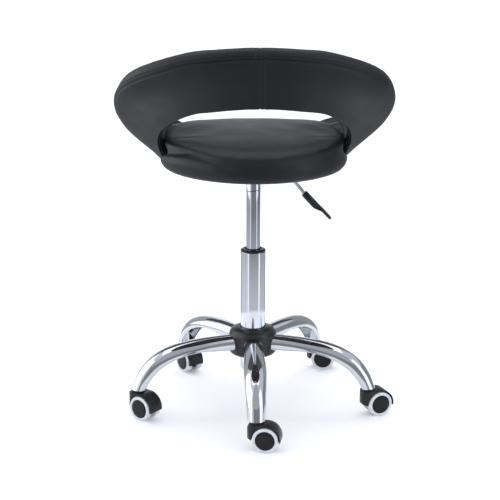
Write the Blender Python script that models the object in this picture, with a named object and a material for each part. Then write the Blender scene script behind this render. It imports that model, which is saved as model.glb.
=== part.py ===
"""Rolling stylist stool: five-arm chrome base on twin-wheel casters, gas lift with a
release lever, round upholstered seat and a crescent back that wraps round the sitter.

Units are metres, +Z is up and the sitter faces +Y. The origin is on the floor, in the
middle of the stool's outline. Everything is drawn round the gas lift's column, whose
axis stands at (COLUMN_X, COLUMN_Y), and angles round it are in degrees.
"""
import math

import bmesh
import bpy
from mathutils import Matrix, Vector

COLUMN_X = -0.006
COLUMN_Y = 0.0265

# Clearances
GAP = 0.0003                # between pieces that touch
RUNNING_GAP = 0.0005        # round pieces that turn
LAYER_GAP = 0.0005          # between the layers of the back

# Base
ARM_COUNT = 5
FIRST_ARM_ANGLE = -91.3
CASTER_CIRCLE = 0.2426      # radius of the circle of caster stems
SOCKET_RADIUS = 0.029       # hub tube that the arms are welded to
SOCKET_HIGH = 0.152
ARM_WALL = 0.002
ARM_ARCH = 0.016            # depth of the rounded top of an arm's channel
ARM_ARCH_POWER = 2.3
# Stations from hub to caster: radius and height of the ridge, then of the lower edge, width
ARM_STATIONS = (
    (0.0296, 0.1500, 0.0296, 0.1150, 0.036),
    (0.0750, 0.1500, 0.0750, 0.1165, 0.039),
    (0.1150, 0.1485, 0.1150, 0.1210, 0.043),
    (0.1550, 0.1435, 0.1500, 0.1205, 0.045),
    (0.1900, 0.1330, 0.1780, 0.1130, 0.044),
    (0.2200, 0.1150, 0.2030, 0.0980, 0.041),
    (0.2420, 0.0880, 0.2220, 0.0770, 0.0375),
    (0.2555, 0.0580, 0.2325, 0.0580, 0.034),
)
ARM_END = 0.058             # height of the arm's open end
STEM_SLEEVE_RADIUS = 0.012
STEM_SLEEVE_TOP = 0.100     # above the channel's roof, which cuts the sleeve off
STEM_BORE_TOP = 0.072

# Hub covers
COVER_RADIUS = 0.048
COVER_TOP = 0.164
COVER_SPLIT = 0.129
COVER_BOTTOM = 0.112
COVER_WALL = 0.0025
COVER_COLLAR = 0.0305       # foot of the low collar round the column
NOTCH_MARGIN = 0.0006

# Gas lift
COLUMN_RADIUS = 0.025
COLUMN_WALL = 0.0015
COLUMN_LOW = 0.075
COLUMN_HIGH = 0.322
COLUMN_FLOOR = 0.003
BUSH_FLANGE = 0.005
BUSH_LOW = 0.262
CYLINDER_RADIUS = 0.014
CYLINDER_LOW = 0.2215
CYLINDER_HIGH = 0.474
CYLINDER_BORE = 0.011
CYLINDER_BORE_LOW = 0.2315
CYLINDER_BORE_HIGH = 0.455
ROD_RADIUS = 0.005
ROD_LOW = 0.071
ROD_SHOULDER = 0.008
ROD_HEAD_RADIUS = 0.0105
ROD_HEAD_LENGTH = 0.012
BEARING_RADIUS = 0.016
BEARING_HEIGHT = 0.0117
PIN_RADIUS = 0.004
PIN_TIP_RADIUS = 0.0027
PIN_LOW = 0.4685
PIN_HIGH = 0.4790
PIN_TRAVEL = 0.0038

# Seat plate and lever
PLATE_SIDE = 0.160
PLATE_LOW = 0.4900
PLATE_THICKNESS = 0.0025
PLATE_SOCKET_RADIUS = 0.020
PLATE_SOCKET_LOW = 0.463
LEVER_HEIGHT = 0.4830
LEVER_PIVOT = 0.034
LEVER_ROD_RADIUS = 0.0035
LEVER_BEND = 0.0645         # where the rod turns down
LEVER_BEND_RADIUS = 0.012
LEVER_SLOPE = 50.5
LEVER_INNER_END = -0.005
HANDLE_START = 0.1005       # distance of the handle's inner end from the column's axis
HANDLE_SLOPE = 47.5
HANDLE_LENGTH = 0.076
HANDLE_GRIP_WIDTH = 0.026
HANDLE_NECK_WIDTH = 0.016
HANDLE_NECK_DEPTH = 0.0137
HANDLE_BLADE_DEPTH = 0.0053
ROD_IN_HANDLE = 0.016
BOLT_SPACING = 0.125
BOLT_RADIUS = 0.003
BOLT_HEAD_RADIUS = 0.005
BOLT_HEAD_HEIGHT = 0.004

# Seat
BOARD_RADIUS = 0.150
BOARD_LOW = 0.4935
BOARD_HIGH = 0.5055
CUSHION_RADIUS = 0.183
CUSHION_NOTCH = 0.015       # how far the back presses the cushion in at each side
CUSHION_TOP = 0.568
CUSHION_FLAT = 0.060
CUSHION_SADDLE = 0.009      # how much higher the cushion's sides are than its front and rear

# Back: angles are measured from the rear, where the back is highest
RIM_DEPTH = 0.0185          # half the thickness of the rolled rim
RIM_HEIGHT = 0.0195         # from the rim's top down to the seam, at the rear
RIM_SIDE_GAIN = 0.45        # how much taller the rim's roll is at the sides
SHELL_THICKNESS = 0.006
FOOT_REACH = 0.135
FOOT_LOW = 0.4883
FOOT_HIGH = 0.4930
FOOT_HEEL = 0.160
# Angle, then radius and height of the rim's top, of the shell's lower edge and of the pad's
BACK_STATIONS = (
    (0.0, 0.2110, 0.7545, 0.205, 0.6435, 0.187, 0.6485),
    (30.0, 0.2300, 0.7480, 0.207, 0.6320, 0.187, 0.6380),
    (50.0, 0.2555, 0.7270, 0.199, 0.6080, 0.180, 0.6140),
    (66.0, 0.2710, 0.6990, 0.196, 0.5815, 0.178, 0.5880),
    (78.0, 0.2735, 0.6665, 0.192, 0.5540, 0.175, 0.5630),
    (90.0, 0.2625, 0.6260, 0.180, 0.5140, 0.171, 0.5370),
    (99.0, 0.2490, 0.6080, 0.172, 0.4885, 0.1705, 0.5270),
    (122.0, 0.2070, 0.5720, 0.172, 0.4885, 0.1705, 0.5270),
    (136.5, 0.1880, 0.5580, 0.179, 0.5120, 0.1765, 0.5300),
)
# Where the wall's and the face's curves are pulled to, as shares of their width and height
WALL_PULLS = ((0.31, 0.43), (0.91, 0.56))
FACE_PULLS = ((0.15, 0.50),)
BACK_STEPS = (0.0, 0.08, 0.25, 0.45, 0.65, 0.83, 1.0)
BACK_ANGLES = (0, 8, 16, 24, 32, 40, 48, 56, 64, 71, 78, 84, 90, 95, 99, 103, 110, 118, 122, 127, 131.5, 135, 136.5)
FOOT_ANGLES = (103, 118)
TIP_SCALES = {131.5: 0.92, 135: 0.65, 136.5: 0.3}

# Casters: the wheels trail behind the stem
CASTER_YAWS = (-12.0, 19.0, -11.0, -58.0, -41.0)
TRAIL = 0.019
WHEEL_RADIUS = 0.025
TYRE_INNER_RADIUS = 0.019
WHEEL_INNER_FACE = 0.0075
WHEEL_OUTER_FACE = 0.020
TYRE_OUTER_FACE = 0.019
WEB_HALF = 0.007
AXLE_RADIUS = 0.003
AXLE_HALF = 0.016
HOOD_RADIUS = 0.029
HOOD_INNER_RADIUS = 0.027
HOOD_HALF_WIDTH = 0.0175
HOOD_BACK = 0.0175          # the hood's upright wall, behind the stem
HOOD_TOP = 0.0545
BOSS_RADIUS = 0.0135
BOSS_TOP = 0.0575
BOSS_BORE_LOW = 0.0415
STEM_RADIUS = 0.0055
STEM_LOW = 0.042
STEM_HIGH = 0.0715

ROUND = 32                  # sides of a large round piece
SMALL_ROUND = 16            # sides of a small round piece
WHEEL_SIDES = 18
SEAT_SIDES = 48
COVER_SIDES = 25            # a multiple of the number of arms, so that every notch is alike


# ---------------------------------------------------------------- modelling helpers

def clear_scene():
    for item in list(bpy.data.objects):
        bpy.data.objects.remove(item, do_unlink=True)


def material(name, colour, roughness, metallic=0.0):
    new = bpy.data.materials.new(name)
    new.use_nodes = True
    shader = new.node_tree.nodes["Principled BSDF"]
    shader.inputs["Base Color"].default_value = (*colour, 1.0)
    shader.inputs["Roughness"].default_value = roughness
    shader.inputs["Metallic"].default_value = metallic
    return new


def mesh_from(bm, name="shape"):
    """Close a bmesh off as a mesh whose faces point out."""
    bmesh.ops.recalc_face_normals(bm, faces=bm.faces[:])
    mesh = bpy.data.meshes.new(name)
    bm.to_mesh(mesh)
    bm.free()
    return mesh


def turned(profile, sides=ROUND):
    """Turn a closed outline of (radius, height) points round Z; radius 0 is on the axis."""
    bm = bmesh.new()
    corners = [bm.verts.new((radius, 0.0, height)) for radius, height in profile]
    pairs = list(zip(corners, corners[1:] + corners[:1]))
    on_axis = [radius < GAP / 2 for radius, height in profile]
    edges = []
    for (low, high), low_on, high_on in zip(pairs, on_axis, on_axis[1:] + on_axis[:1]):
        if not (low_on and high_on):
            edges.append(bm.edges.new((low, high)))
    bmesh.ops.spin(
        bm, geom=corners + edges, cent=(0, 0, 0), axis=(0, 0, 1),
        angle=math.tau, steps=sides, use_merge=True,
    )
    bmesh.ops.remove_doubles(bm, verts=bm.verts[:], dist=GAP / 100)
    return mesh_from(bm)


def lofted(rings):
    """Skin a row of rings with the same number of points, and close both ends."""
    bm = bmesh.new()
    loops = [[bm.verts.new(point) for point in ring] for ring in rings]
    count = len(rings[0])
    for this, following in zip(loops, loops[1:]):
        for index in range(count):
            after = (index + 1) % count
            bm.faces.new((this[index], this[after], following[after], following[index]))
    bm.faces.new(loops[0])
    bm.faces.new(loops[-1])
    return mesh_from(bm)


def prism(outline, low, high, place=Matrix()):
    """Extrude an (x, y) outline from one height to another, then move it by a matrix."""
    rings = [[place @ Vector((x, y, z)) for x, y in outline] for z in (low, high)]
    return lofted(rings)


def circle_points(radius, sides, centre=(0.0, 0.0), first=0.0, last=math.tau):
    """Points round a circle, or along an arc of it where last says so."""
    full = math.isclose(last - first, math.tau)
    steps = sides if full else sides - 1
    turns = [first + (last - first) * index / steps for index in range(sides)]
    return [(centre[0] + radius * math.cos(a), centre[1] + radius * math.sin(a)) for a in turns]


def combined(base, cuts=(), joins=(), keeps=()):
    """The mesh of base with meshes joined on, others cut away, and trimmed to the keeps."""
    scene = bpy.context.scene.collection
    body = bpy.data.objects.new("working_body", base)
    scene.objects.link(body)
    helpers = []
    steps = [(mesh, "UNION") for mesh in joins]
    steps += [(mesh, "DIFFERENCE") for mesh in cuts]
    steps += [(mesh, "INTERSECT") for mesh in keeps]
    for mesh, operation in steps:
        helper = bpy.data.objects.new("working_tool", mesh)
        scene.objects.link(helper)
        helpers.append(helper)
        step = body.modifiers.new("step", "BOOLEAN")
        step.operation = operation
        step.solver = "EXACT"
        step.object = helper
    graph = bpy.context.evaluated_depsgraph_get()
    result = bpy.data.meshes.new_from_object(body.evaluated_get(graph))
    for item in [body] + helpers:
        bpy.data.objects.remove(item, do_unlink=True)
    return result


def pivot(name, parent=None, location=(0, 0, 0), yaw=0.0):
    """An empty that pieces are placed under, on the axis they turn about."""
    empty = bpy.data.objects.new(name, None)
    bpy.context.scene.collection.objects.link(empty)
    empty.parent = parent
    empty.location = location
    empty.rotation_euler.z = math.radians(yaw)
    return empty


def piece(name, mesh, finish, parent, location=(0, 0, 0), rotation=(0, 0, 0), smooth=35):
    """A named solid under a pivot; rotation is in degrees."""
    item = bpy.data.objects.new(name, mesh)
    bpy.context.scene.collection.objects.link(item)
    item.parent = parent
    item.location = location
    item.rotation_euler = [math.radians(turn) for turn in rotation]
    mesh.materials.clear()
    mesh.materials.append(finish)
    mesh.shade_smooth()
    mesh.set_sharp_from_angle(angle=math.radians(smooth))
    return item


def polar(radius, angle, height):
    """A point round the column, with its angle in degrees from +X."""
    turn = math.radians(angle)
    return Vector((radius * math.cos(turn), radius * math.sin(turn), height))


def ring_outline(inner, outer, low, high):
    """Outline of a plain tube, for turning."""
    return [(inner, low), (outer, low), (outer, high), (inner, high)]


def pin_outline(radius, low, high):
    """Outline of a plain round bar, for turning."""
    return ring_outline(0, radius, low, high)


def blend(first, second, share):
    return tuple(a + (b - a) * share for a, b in zip(first, second))


# ---------------------------------------------------------------- base

def arch(half_width, depth, points=7):
    """Half of a superellipse, from one side over the top: (sideways, down) points."""
    outline = []
    for index in range(points):
        turn = math.pi * index / (points - 1)
        side = abs(math.cos(turn)) ** (2 / ARM_ARCH_POWER) * math.copysign(1, math.cos(turn))
        rise = math.sin(turn) ** (2 / ARM_ARCH_POWER) if 0 < index < points - 1 else 0.0
        outline.append((half_width * side, depth * (1 - rise)))
    return outline


def channel_ring(station, inset=0.0, extra_leg=0.0):
    """One cross-section of an arm: an arch over two straight legs."""
    top_radius, top_height, low_radius, low_height, width = station
    ridge = Vector((top_radius, 0.0, top_height))
    down = Vector((low_radius, 0.0, low_height)) - ridge
    leg = down.length + extra_leg
    down.normalize()
    outline = arch(width / 2 - inset, ARM_ARCH)
    outline = [(side, depth + inset) for side, depth in outline]
    outline.insert(0, (outline[0][0], leg))
    outline.append((outline[-1][0], leg))
    return [ridge + down * depth + Vector((0, side, 0)) for side, depth in outline]


def arm_mesh():
    """A pressed channel, open underneath, with a sleeve for the caster's stem inside its end."""
    channel = lofted([channel_ring(station) for station in ARM_STATIONS])
    hub_overrun = list(ARM_STATIONS[0])
    hub_overrun[0] -= ARM_WALL
    hub_overrun[2] -= ARM_WALL
    floor_overrun = list(ARM_STATIONS[-1])
    floor_overrun[1] -= 2 * ARM_WALL
    floor_overrun[3] -= 2 * ARM_WALL
    hollow_stations = [hub_overrun, *ARM_STATIONS, floor_overrun]
    hollow = lofted([channel_ring(station, ARM_WALL, 2 * ARM_WALL) for station in hollow_stations])
    centre = (CASTER_CIRCLE, 0.0)
    sleeve = prism(circle_points(STEM_SLEEVE_RADIUS, SMALL_ROUND, centre), ARM_END, STEM_SLEEVE_TOP)
    bore = prism(
        circle_points(STEM_RADIUS + GAP, SMALL_ROUND, centre), ARM_END - ARM_WALL, STEM_BORE_TOP
    )
    return combined(channel, cuts=[combined(hollow, cuts=[sleeve]), bore])


def notch_cutters(top, bottom):
    """Arched prisms that clear the arms where they pass through a hub cover."""
    cutters = []
    for index in range(ARM_COUNT):
        turn = Matrix.Rotation(math.tau / ARM_COUNT * index, 4, "Z")
        half = ARM_STATIONS[0][4] / 2 + 2 * NOTCH_MARGIN
        outline = [(side, top - depth) for side, depth in arch(half, ARM_ARCH)]
        outline = [(outline[0][0], bottom), *outline, (outline[-1][0], bottom)]
        rings = [
            [turn @ Vector((radius, side, height)) for side, height in outline]
            for radius in (SOCKET_RADIUS + 0.006, COVER_RADIUS + 0.01)
        ]
        cutters.append(lofted(rings))
    return cutters


def cover_top_mesh():
    inner = COLUMN_RADIUS + RUNNING_GAP
    shoulder = 0.0095           # how far the domed edge falls below the top
    outline = [
        (inner, COVER_TOP - COVER_WALL),
        (inner, COVER_TOP),
        (COVER_COLLAR, COVER_TOP + GAP),
        (0.0385, COVER_TOP - 0.0035),
        (0.0445, COVER_TOP - shoulder),
        (COVER_RADIUS - 0.0005, COVER_TOP - 0.018),
        (COVER_RADIUS, COVER_SPLIT + GAP),
        (COVER_RADIUS - COVER_WALL, COVER_SPLIT + GAP),
        (COVER_RADIUS - COVER_WALL - 0.0005, COVER_TOP - 0.0185),
        (0.0425, COVER_TOP - 0.0115),
        (0.0375, COVER_TOP - 0.0062),
        (COVER_COLLAR, COVER_TOP - COVER_WALL),
    ]
    arm_top = ARM_STATIONS[0][1] + NOTCH_MARGIN
    return combined(turned(outline, COVER_SIDES), cuts=notch_cutters(arm_top, COVER_SPLIT - 0.01))


def cover_bottom_mesh():
    inner = COLUMN_RADIUS + RUNNING_GAP
    floor = COVER_BOTTOM + COVER_WALL
    outline = [
        (inner, COVER_BOTTOM),
        (COVER_RADIUS - 0.006, COVER_BOTTOM),
        (COVER_RADIUS - 0.002, COVER_BOTTOM + 0.003),
        (COVER_RADIUS, COVER_BOTTOM + 0.008),
        (COVER_RADIUS, COVER_SPLIT - GAP),
        (COVER_RADIUS - COVER_WALL, COVER_SPLIT - GAP),
        (COVER_RADIUS - COVER_WALL, COVER_BOTTOM + 0.008),
        (COVER_RADIUS - 0.006, floor),
        (inner, floor),
    ]
    cutters = []
    for index in range(ARM_COUNT):
        turn = Matrix.Rotation(math.tau / ARM_COUNT * index, 4, "Z")
        half = ARM_STATIONS[0][4] / 2 + 2 * NOTCH_MARGIN
        sides = [(SOCKET_RADIUS + 0.008, -half), (COVER_RADIUS + 0.01, -half)]
        sides += [(radius, half) for radius, low in reversed(sides)]
        cutters.append(prism(sides, floor + GAP, COVER_SPLIT + 0.01, turn))
    return combined(turned(outline, COVER_SIDES), cuts=cutters)


def make_base(stool, chrome, steel, black_plastic):
    """Hub socket, arms and hub covers, with a pivot for each caster; returns the pivots."""
    base = pivot("base", stool)
    socket = ring_outline(COLUMN_RADIUS + GAP, SOCKET_RADIUS, COVER_BOTTOM + COVER_WALL + GAP, SOCKET_HIGH)
    piece("hub_socket", turned(socket), steel, base)
    turn = (0, 0, FIRST_ARM_ANGLE)
    piece("hub_cover_top", cover_top_mesh(), black_plastic, base, rotation=turn)
    piece("hub_cover_bottom", cover_bottom_mesh(), black_plastic, base, rotation=turn)
    arm = arm_mesh()
    caster_pivots = []
    for index in range(ARM_COUNT):
        angle = FIRST_ARM_ANGLE + 360 / ARM_COUNT * index
        piece(f"arm_{index + 1}", arm, chrome, base, rotation=(0, 0, angle))
        stem_place = polar(CASTER_CIRCLE, angle, 0.0)
        caster_pivots.append(pivot(f"caster_{index + 1}", base, stem_place, CASTER_YAWS[index]))
    return base, caster_pivots


# ---------------------------------------------------------------- casters

def hood_mesh():
    """Hood over both wheels, with the web between them and the boss round the stem."""
    axle = (TRAIL, WHEEL_RADIUS)
    arc = circle_points(HOOD_RADIUS, 10, axle, math.radians(-8), math.radians(90))
    outline = arc + [
        (-0.004, HOOD_TOP),
        (-0.012, HOOD_TOP - 0.002),
        (-0.0162, HOOD_TOP - 0.0065),
        (-HOOD_BACK, HOOD_TOP - 0.013),
        (-HOOD_BACK, WHEEL_RADIUS + 0.004),
        (-0.0155, WHEEL_RADIUS),
        (-0.011, WHEEL_RADIUS - 0.001),
        (TRAIL - 0.004, WHEEL_RADIUS - 0.0075),
        (TRAIL + 0.004, WHEEL_RADIUS - 0.0075),
    ]
    upright = Matrix.Rotation(math.radians(90), 4, "X")
    body = prism(outline, -HOOD_HALF_WIDTH, HOOD_HALF_WIDTH, upright)
    plan = circle_points(HOOD_BACK, 9, (0, 0), math.radians(90), math.radians(270))
    plan = [(HOOD_RADIUS * 2, HOOD_BACK), *plan, (HOOD_RADIUS * 2, -HOOD_BACK)]
    rounded_back = prism(plan, 0.0, HOOD_RADIUS * 3)
    boss = turned(pin_outline(BOSS_RADIUS, WHEEL_RADIUS + 0.008, BOSS_TOP), SMALL_ROUND)
    pocket = circle_points(HOOD_INNER_RADIUS, 20, axle)
    pockets = [
        prism(pocket, side * WEB_HALF, side * (HOOD_HALF_WIDTH + 0.005), upright)
        for side in (-1, 1)
    ]
    hole = circle_points(AXLE_RADIUS + GAP, 12, axle)
    axle_hole = prism(hole, -WEB_HALF - 0.002, WEB_HALF + 0.002, upright)
    bore = turned(pin_outline(STEM_RADIUS + GAP, BOSS_BORE_LOW, BOSS_TOP + 0.002), SMALL_ROUND)
    body = combined(body, keeps=[rounded_back])
    return combined(body, joins=[boss], cuts=[*pockets, axle_hole, bore])


def stem_mesh():
    tip = 0.001
    outline = [
        (0, STEM_LOW),
        (STEM_RADIUS, STEM_LOW),
        (STEM_RADIUS, STEM_HIGH - tip),
        (STEM_RADIUS - tip, STEM_HIGH),
        (0, STEM_HIGH),
    ]
    return turned(outline, SMALL_ROUND)


def wheel_mesh():
    """Wheel core with a blind bore for the axle and a low dome as its cap."""
    rim = TYRE_INNER_RADIUS - GAP
    outline = [
        (AXLE_RADIUS + GAP, WHEEL_INNER_FACE),
        (rim, WHEEL_INNER_FACE),
        (rim, WHEEL_OUTER_FACE - 0.001),
        (rim - 0.002, WHEEL_OUTER_FACE),
        (0, WHEEL_OUTER_FACE),
        (0, AXLE_HALF + GAP),
        (AXLE_RADIUS + GAP, AXLE_HALF + GAP),
    ]
    return turned(outline, WHEEL_SIDES)


def tyre_mesh():
    """Tread ring; its flats, not its corners, lie at the wheel's radius and on the floor."""
    corner_radius = WHEEL_RADIUS / math.cos(math.pi / WHEEL_SIDES)
    outline = [
        (TYRE_INNER_RADIUS, WHEEL_INNER_FACE),
        (corner_radius - 0.001, WHEEL_INNER_FACE),
        (corner_radius, WHEEL_INNER_FACE + 0.001),
        (corner_radius, TYRE_OUTER_FACE - 0.003),
        (corner_radius - 0.003, TYRE_OUTER_FACE),
        (TYRE_INNER_RADIUS, TYRE_OUTER_FACE),
    ]
    return turned(outline, WHEEL_SIDES)


def axle_mesh():
    return turned(pin_outline(AXLE_RADIUS, -AXLE_HALF, AXLE_HALF), 12)


def make_casters(base, caster_pivots, chrome, steel, black_plastic, grey_rubber):
    """Each caster under its own pivot; its two wheels turn on their own axes."""
    meshes = {
        "stem": stem_mesh(), "hood": hood_mesh(), "axle": axle_mesh(),
        "wheel": wheel_mesh(), "tyre": tyre_mesh(),
    }
    axle_place = (TRAIL, 0, WHEEL_RADIUS)
    for number, swivel in enumerate(caster_pivots, start=1):
        name = f"caster_{number}"
        piece(f"{name}_stem", meshes["stem"], chrome, swivel)
        piece(f"{name}_hood", meshes["hood"], black_plastic, swivel)
        piece(f"{name}_axle", meshes["axle"], steel, swivel, axle_place, (90, 0, 0))
        for side, turn in (("left", -90), ("right", 90)):
            rotation = (turn, 0, 0)
            piece(f"{name}_wheel_{side}", meshes["wheel"], black_plastic, swivel, axle_place, rotation)
            piece(f"{name}_tyre_{side}", meshes["tyre"], grey_rubber, swivel, axle_place, rotation)


# ---------------------------------------------------------------- gas lift

def column_mesh():
    inner = COLUMN_RADIUS - COLUMN_WALL
    outline = [
        (ROD_RADIUS + RUNNING_GAP, COLUMN_LOW),
        (COLUMN_RADIUS, COLUMN_LOW),
        (COLUMN_RADIUS, COLUMN_HIGH),
        (inner, COLUMN_HIGH),
        (inner, COLUMN_LOW + COLUMN_FLOOR),
        (ROD_RADIUS + RUNNING_GAP, COLUMN_LOW + COLUMN_FLOOR),
    ]
    return turned(outline)


def bush_mesh():
    bore = CYLINDER_RADIUS + GAP
    sleeve = COLUMN_RADIUS - COLUMN_WALL - GAP
    outline = [
        (bore, BUSH_LOW),
        (sleeve, BUSH_LOW),
        (sleeve, COLUMN_HIGH + GAP),
        (COLUMN_RADIUS, COLUMN_HIGH + GAP),
        (COLUMN_RADIUS, COLUMN_HIGH + 0.6 * BUSH_FLANGE),
        (COLUMN_RADIUS - 0.004, COLUMN_HIGH + BUSH_FLANGE),
        (bore, COLUMN_HIGH + BUSH_FLANGE),
    ]
    return turned(outline, 24)


def cylinder_mesh():
    pin_hole = PIN_RADIUS + GAP
    outline = [
        (ROD_RADIUS + GAP, CYLINDER_LOW),
        (CYLINDER_RADIUS, CYLINDER_LOW),
        (CYLINDER_RADIUS, CYLINDER_HIGH),
        (pin_hole, CYLINDER_HIGH),
        (pin_hole, PIN_LOW - PIN_TRAVEL - RUNNING_GAP),
        (0, PIN_LOW - PIN_TRAVEL - RUNNING_GAP),
        (0, CYLINDER_BORE_HIGH),
        (CYLINDER_BORE, CYLINDER_BORE_HIGH),
        (CYLINDER_BORE, CYLINDER_BORE_LOW),
        (ROD_RADIUS + GAP, CYLINDER_BORE_LOW),
    ]
    return turned(outline, 24)


def rod_mesh():
    """The piston rod stands on the thrust bearing, and its head runs inside the cylinder."""
    shoulder_low = COLUMN_LOW + COLUMN_FLOOR + BEARING_HEIGHT + 2 * GAP
    head_low = CYLINDER_BORE_LOW + GAP
    outline = [
        (0, ROD_LOW),
        (ROD_RADIUS, ROD_LOW),
        (ROD_RADIUS, shoulder_low),
        (ROD_SHOULDER, shoulder_low),
        (ROD_SHOULDER, shoulder_low + 0.003),
        (ROD_RADIUS, shoulder_low + 0.003),
        (ROD_RADIUS, head_low),
        (ROD_HEAD_RADIUS, head_low),
        (ROD_HEAD_RADIUS, head_low + ROD_HEAD_LENGTH),
        (0, head_low + ROD_HEAD_LENGTH),
    ]
    return turned(outline, SMALL_ROUND)


def pin_mesh():
    outline = [
        (0, PIN_LOW),
        (PIN_RADIUS, PIN_LOW),
        (PIN_RADIUS, CYLINDER_HIGH + 0.001),
        (PIN_TIP_RADIUS, CYLINDER_HIGH + 0.0015),
        (PIN_TIP_RADIUS, PIN_HIGH),
        (0, PIN_HIGH),
    ]
    return turned(outline, SMALL_ROUND)


def make_gas_lift(base, seat, chrome, steel, black_plastic):
    piece("column_tube", column_mesh(), chrome, base)
    piece("column_bush", bush_mesh(), black_plastic, base)
    bearing_low = COLUMN_LOW + COLUMN_FLOOR + GAP
    bearing = ring_outline(
        ROD_RADIUS + RUNNING_GAP, BEARING_RADIUS, bearing_low, bearing_low + BEARING_HEIGHT
    )
    piece("thrust_bearing", turned(bearing, SMALL_ROUND), steel, base)
    piece("piston_rod", rod_mesh(), steel, seat)
    piece("gas_cylinder", cylinder_mesh(), chrome, seat)
    piece("release_pin", pin_mesh(), steel, seat)


# ---------------------------------------------------------------- seat plate and lever

def bolt_places():
    half = BOLT_SPACING / 2
    return [(x, y) for y in (-half, half) for x in (-half, half)]


def plate_mesh():
    """Square plate with the tapered socket's tube and the lever's bracket welded under it."""
    half = PLATE_SIDE / 2
    corner = 0.015
    outline = []
    for x, y, first in ((1, 1, 0), (-1, 1, 90), (-1, -1, 180), (1, -1, 270)):
        centre = (x * (half - corner), y * (half - corner))
        outline += circle_points(corner, 4, centre, math.radians(first), math.radians(first + 90))
    plate = prism(outline, PLATE_LOW, PLATE_LOW + PLATE_THICKNESS)
    tube = turned(ring_outline(
        CYLINDER_RADIUS + GAP, PLATE_SOCKET_RADIUS, PLATE_SOCKET_LOW, PLATE_LOW + 0.001
    ), 24)
    bracket_half = 0.002
    bracket = prism(
        [(LEVER_PIVOT - bracket_half, -0.011), (LEVER_PIVOT + bracket_half, -0.011),
         (LEVER_PIVOT + bracket_half, 0.011), (LEVER_PIVOT - bracket_half, 0.011)],
        LEVER_HEIGHT - 0.010, PLATE_LOW + 0.001,
    )
    slot_half = LEVER_ROD_RADIUS + 0.001
    slot = prism(
        [(0.005, -slot_half), (0.024, -slot_half), (0.024, slot_half), (0.005, slot_half)],
        LEVER_HEIGHT - LEVER_ROD_RADIUS - 0.004, PLATE_LOW - 0.0005,
    )
    along_x = Matrix.Rotation(math.radians(90), 4, "Y")
    eye = prism(
        circle_points(LEVER_ROD_RADIUS + 0.001, 12, (-LEVER_HEIGHT, 0.0)),
        LEVER_PIVOT - 0.005, LEVER_PIVOT + 0.005, along_x,
    )
    holes = [
        prism(circle_points(BOLT_RADIUS + GAP, 12, place), PLATE_LOW - 0.002, PLATE_LOW + 0.006)
        for place in bolt_places()
    ]
    return combined(plate, joins=[tube, bracket], cuts=[slot, eye, *holes])


def handle_height():
    """Height of the rod where it enters the handle."""
    return LEVER_HEIGHT - (HANDLE_START - LEVER_BEND) * math.tan(math.radians(LEVER_SLOPE))


def lever_path():
    """The rod's centre line, straight out and then bent down, as (x, z) points."""
    slope = math.radians(LEVER_SLOPE)
    straight = LEVER_BEND_RADIUS * math.tan(slope / 2)
    path = [(LEVER_INNER_END, LEVER_HEIGHT), (0.012, LEVER_HEIGHT)]
    path += [(LEVER_PIVOT, LEVER_HEIGHT)]
    centre = (LEVER_BEND - straight, LEVER_HEIGHT - LEVER_BEND_RADIUS)
    path += circle_points(LEVER_BEND_RADIUS, 6, centre, math.pi / 2, math.pi / 2 - slope)
    grip = math.radians(HANDLE_SLOPE)
    end = (HANDLE_START + ROD_IN_HANDLE * math.cos(grip),
           handle_height() - ROD_IN_HANDLE * math.sin(grip))
    return path + [(HANDLE_START, handle_height()), end]


def rod_along(path, radius, sides):
    """A round bar along (x, z) points, with mitred bends."""
    rings = []
    for index, (x, z) in enumerate(path):
        before = path[max(index - 1, 0)]
        after = path[min(index + 1, len(path) - 1)]
        heading = Vector((after[0] - before[0], 0, after[1] - before[1])).normalized()
        up = Vector((-heading.z, 0, heading.x))
        ring = circle_points(radius, sides)
        rings.append([Vector((x, side, z)) + up * rise for rise, side in ring])
    return lofted(rings)


def handle_mesh():
    """Paddle handle: a deep neck over the rod, a taper, and a thin blade with a round end."""
    lift = (HANDLE_NECK_DEPTH - HANDLE_BLADE_DEPTH) / 2
    stations = [
        (0.0, HANDLE_NECK_WIDTH, HANDLE_NECK_DEPTH, 0.0),
        (0.033, HANDLE_NECK_WIDTH + 0.002, HANDLE_NECK_DEPTH, 0.0),
        (0.0505, HANDLE_GRIP_WIDTH - 0.003, HANDLE_BLADE_DEPTH, lift),
        (0.063, HANDLE_GRIP_WIDTH, HANDLE_BLADE_DEPTH, lift),
    ]
    end_radius = HANDLE_LENGTH - stations[-1][0]
    for turn in (30, 55, 75, 88):
        along = stations[3][0] + end_radius * math.sin(math.radians(turn))
        width = HANDLE_GRIP_WIDTH * math.cos(math.radians(turn))
        stations.append((along, width, HANDLE_BLADE_DEPTH, lift))
    slope = math.radians(HANDLE_SLOPE)
    place = Matrix.Translation((HANDLE_START, 0, handle_height())) @ Matrix.Rotation(slope, 4, "Y")
    rings = []
    for along, width, depth, raised in stations:
        corner = min(0.38 * depth, 0.38 * width)
        half_w, half_d = width / 2, depth / 2
        ring = [
            (half_w, half_d - corner), (half_w - corner, half_d), (corner - half_w, half_d),
            (-half_w, half_d - corner), (-half_w, corner - half_d), (corner - half_w, -half_d),
            (half_w - corner, -half_d), (half_w, corner - half_d),
        ]
        rings.append([place @ Vector((along, side, rise + raised)) for side, rise in ring])
    bore = rod_along([(-0.002, 0.0), (ROD_IN_HANDLE + 2 * GAP, 0.0)], LEVER_ROD_RADIUS + GAP, 12)
    bore.transform(place)
    return combined(lofted(rings), cuts=[bore])


def bolt_mesh():
    """Hexagon-headed bolt, its head under the plate and its shank up in the board."""
    head_high = PLATE_LOW - GAP
    head_low = head_high - BOLT_HEAD_HEIGHT
    head = prism(circle_points(BOLT_HEAD_RADIUS, 6), head_low, head_high)
    shank = prism(circle_points(BOLT_RADIUS, 10), head_low + 0.001, BOARD_HIGH - 0.003)
    return combined(head, joins=[shank])


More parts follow.
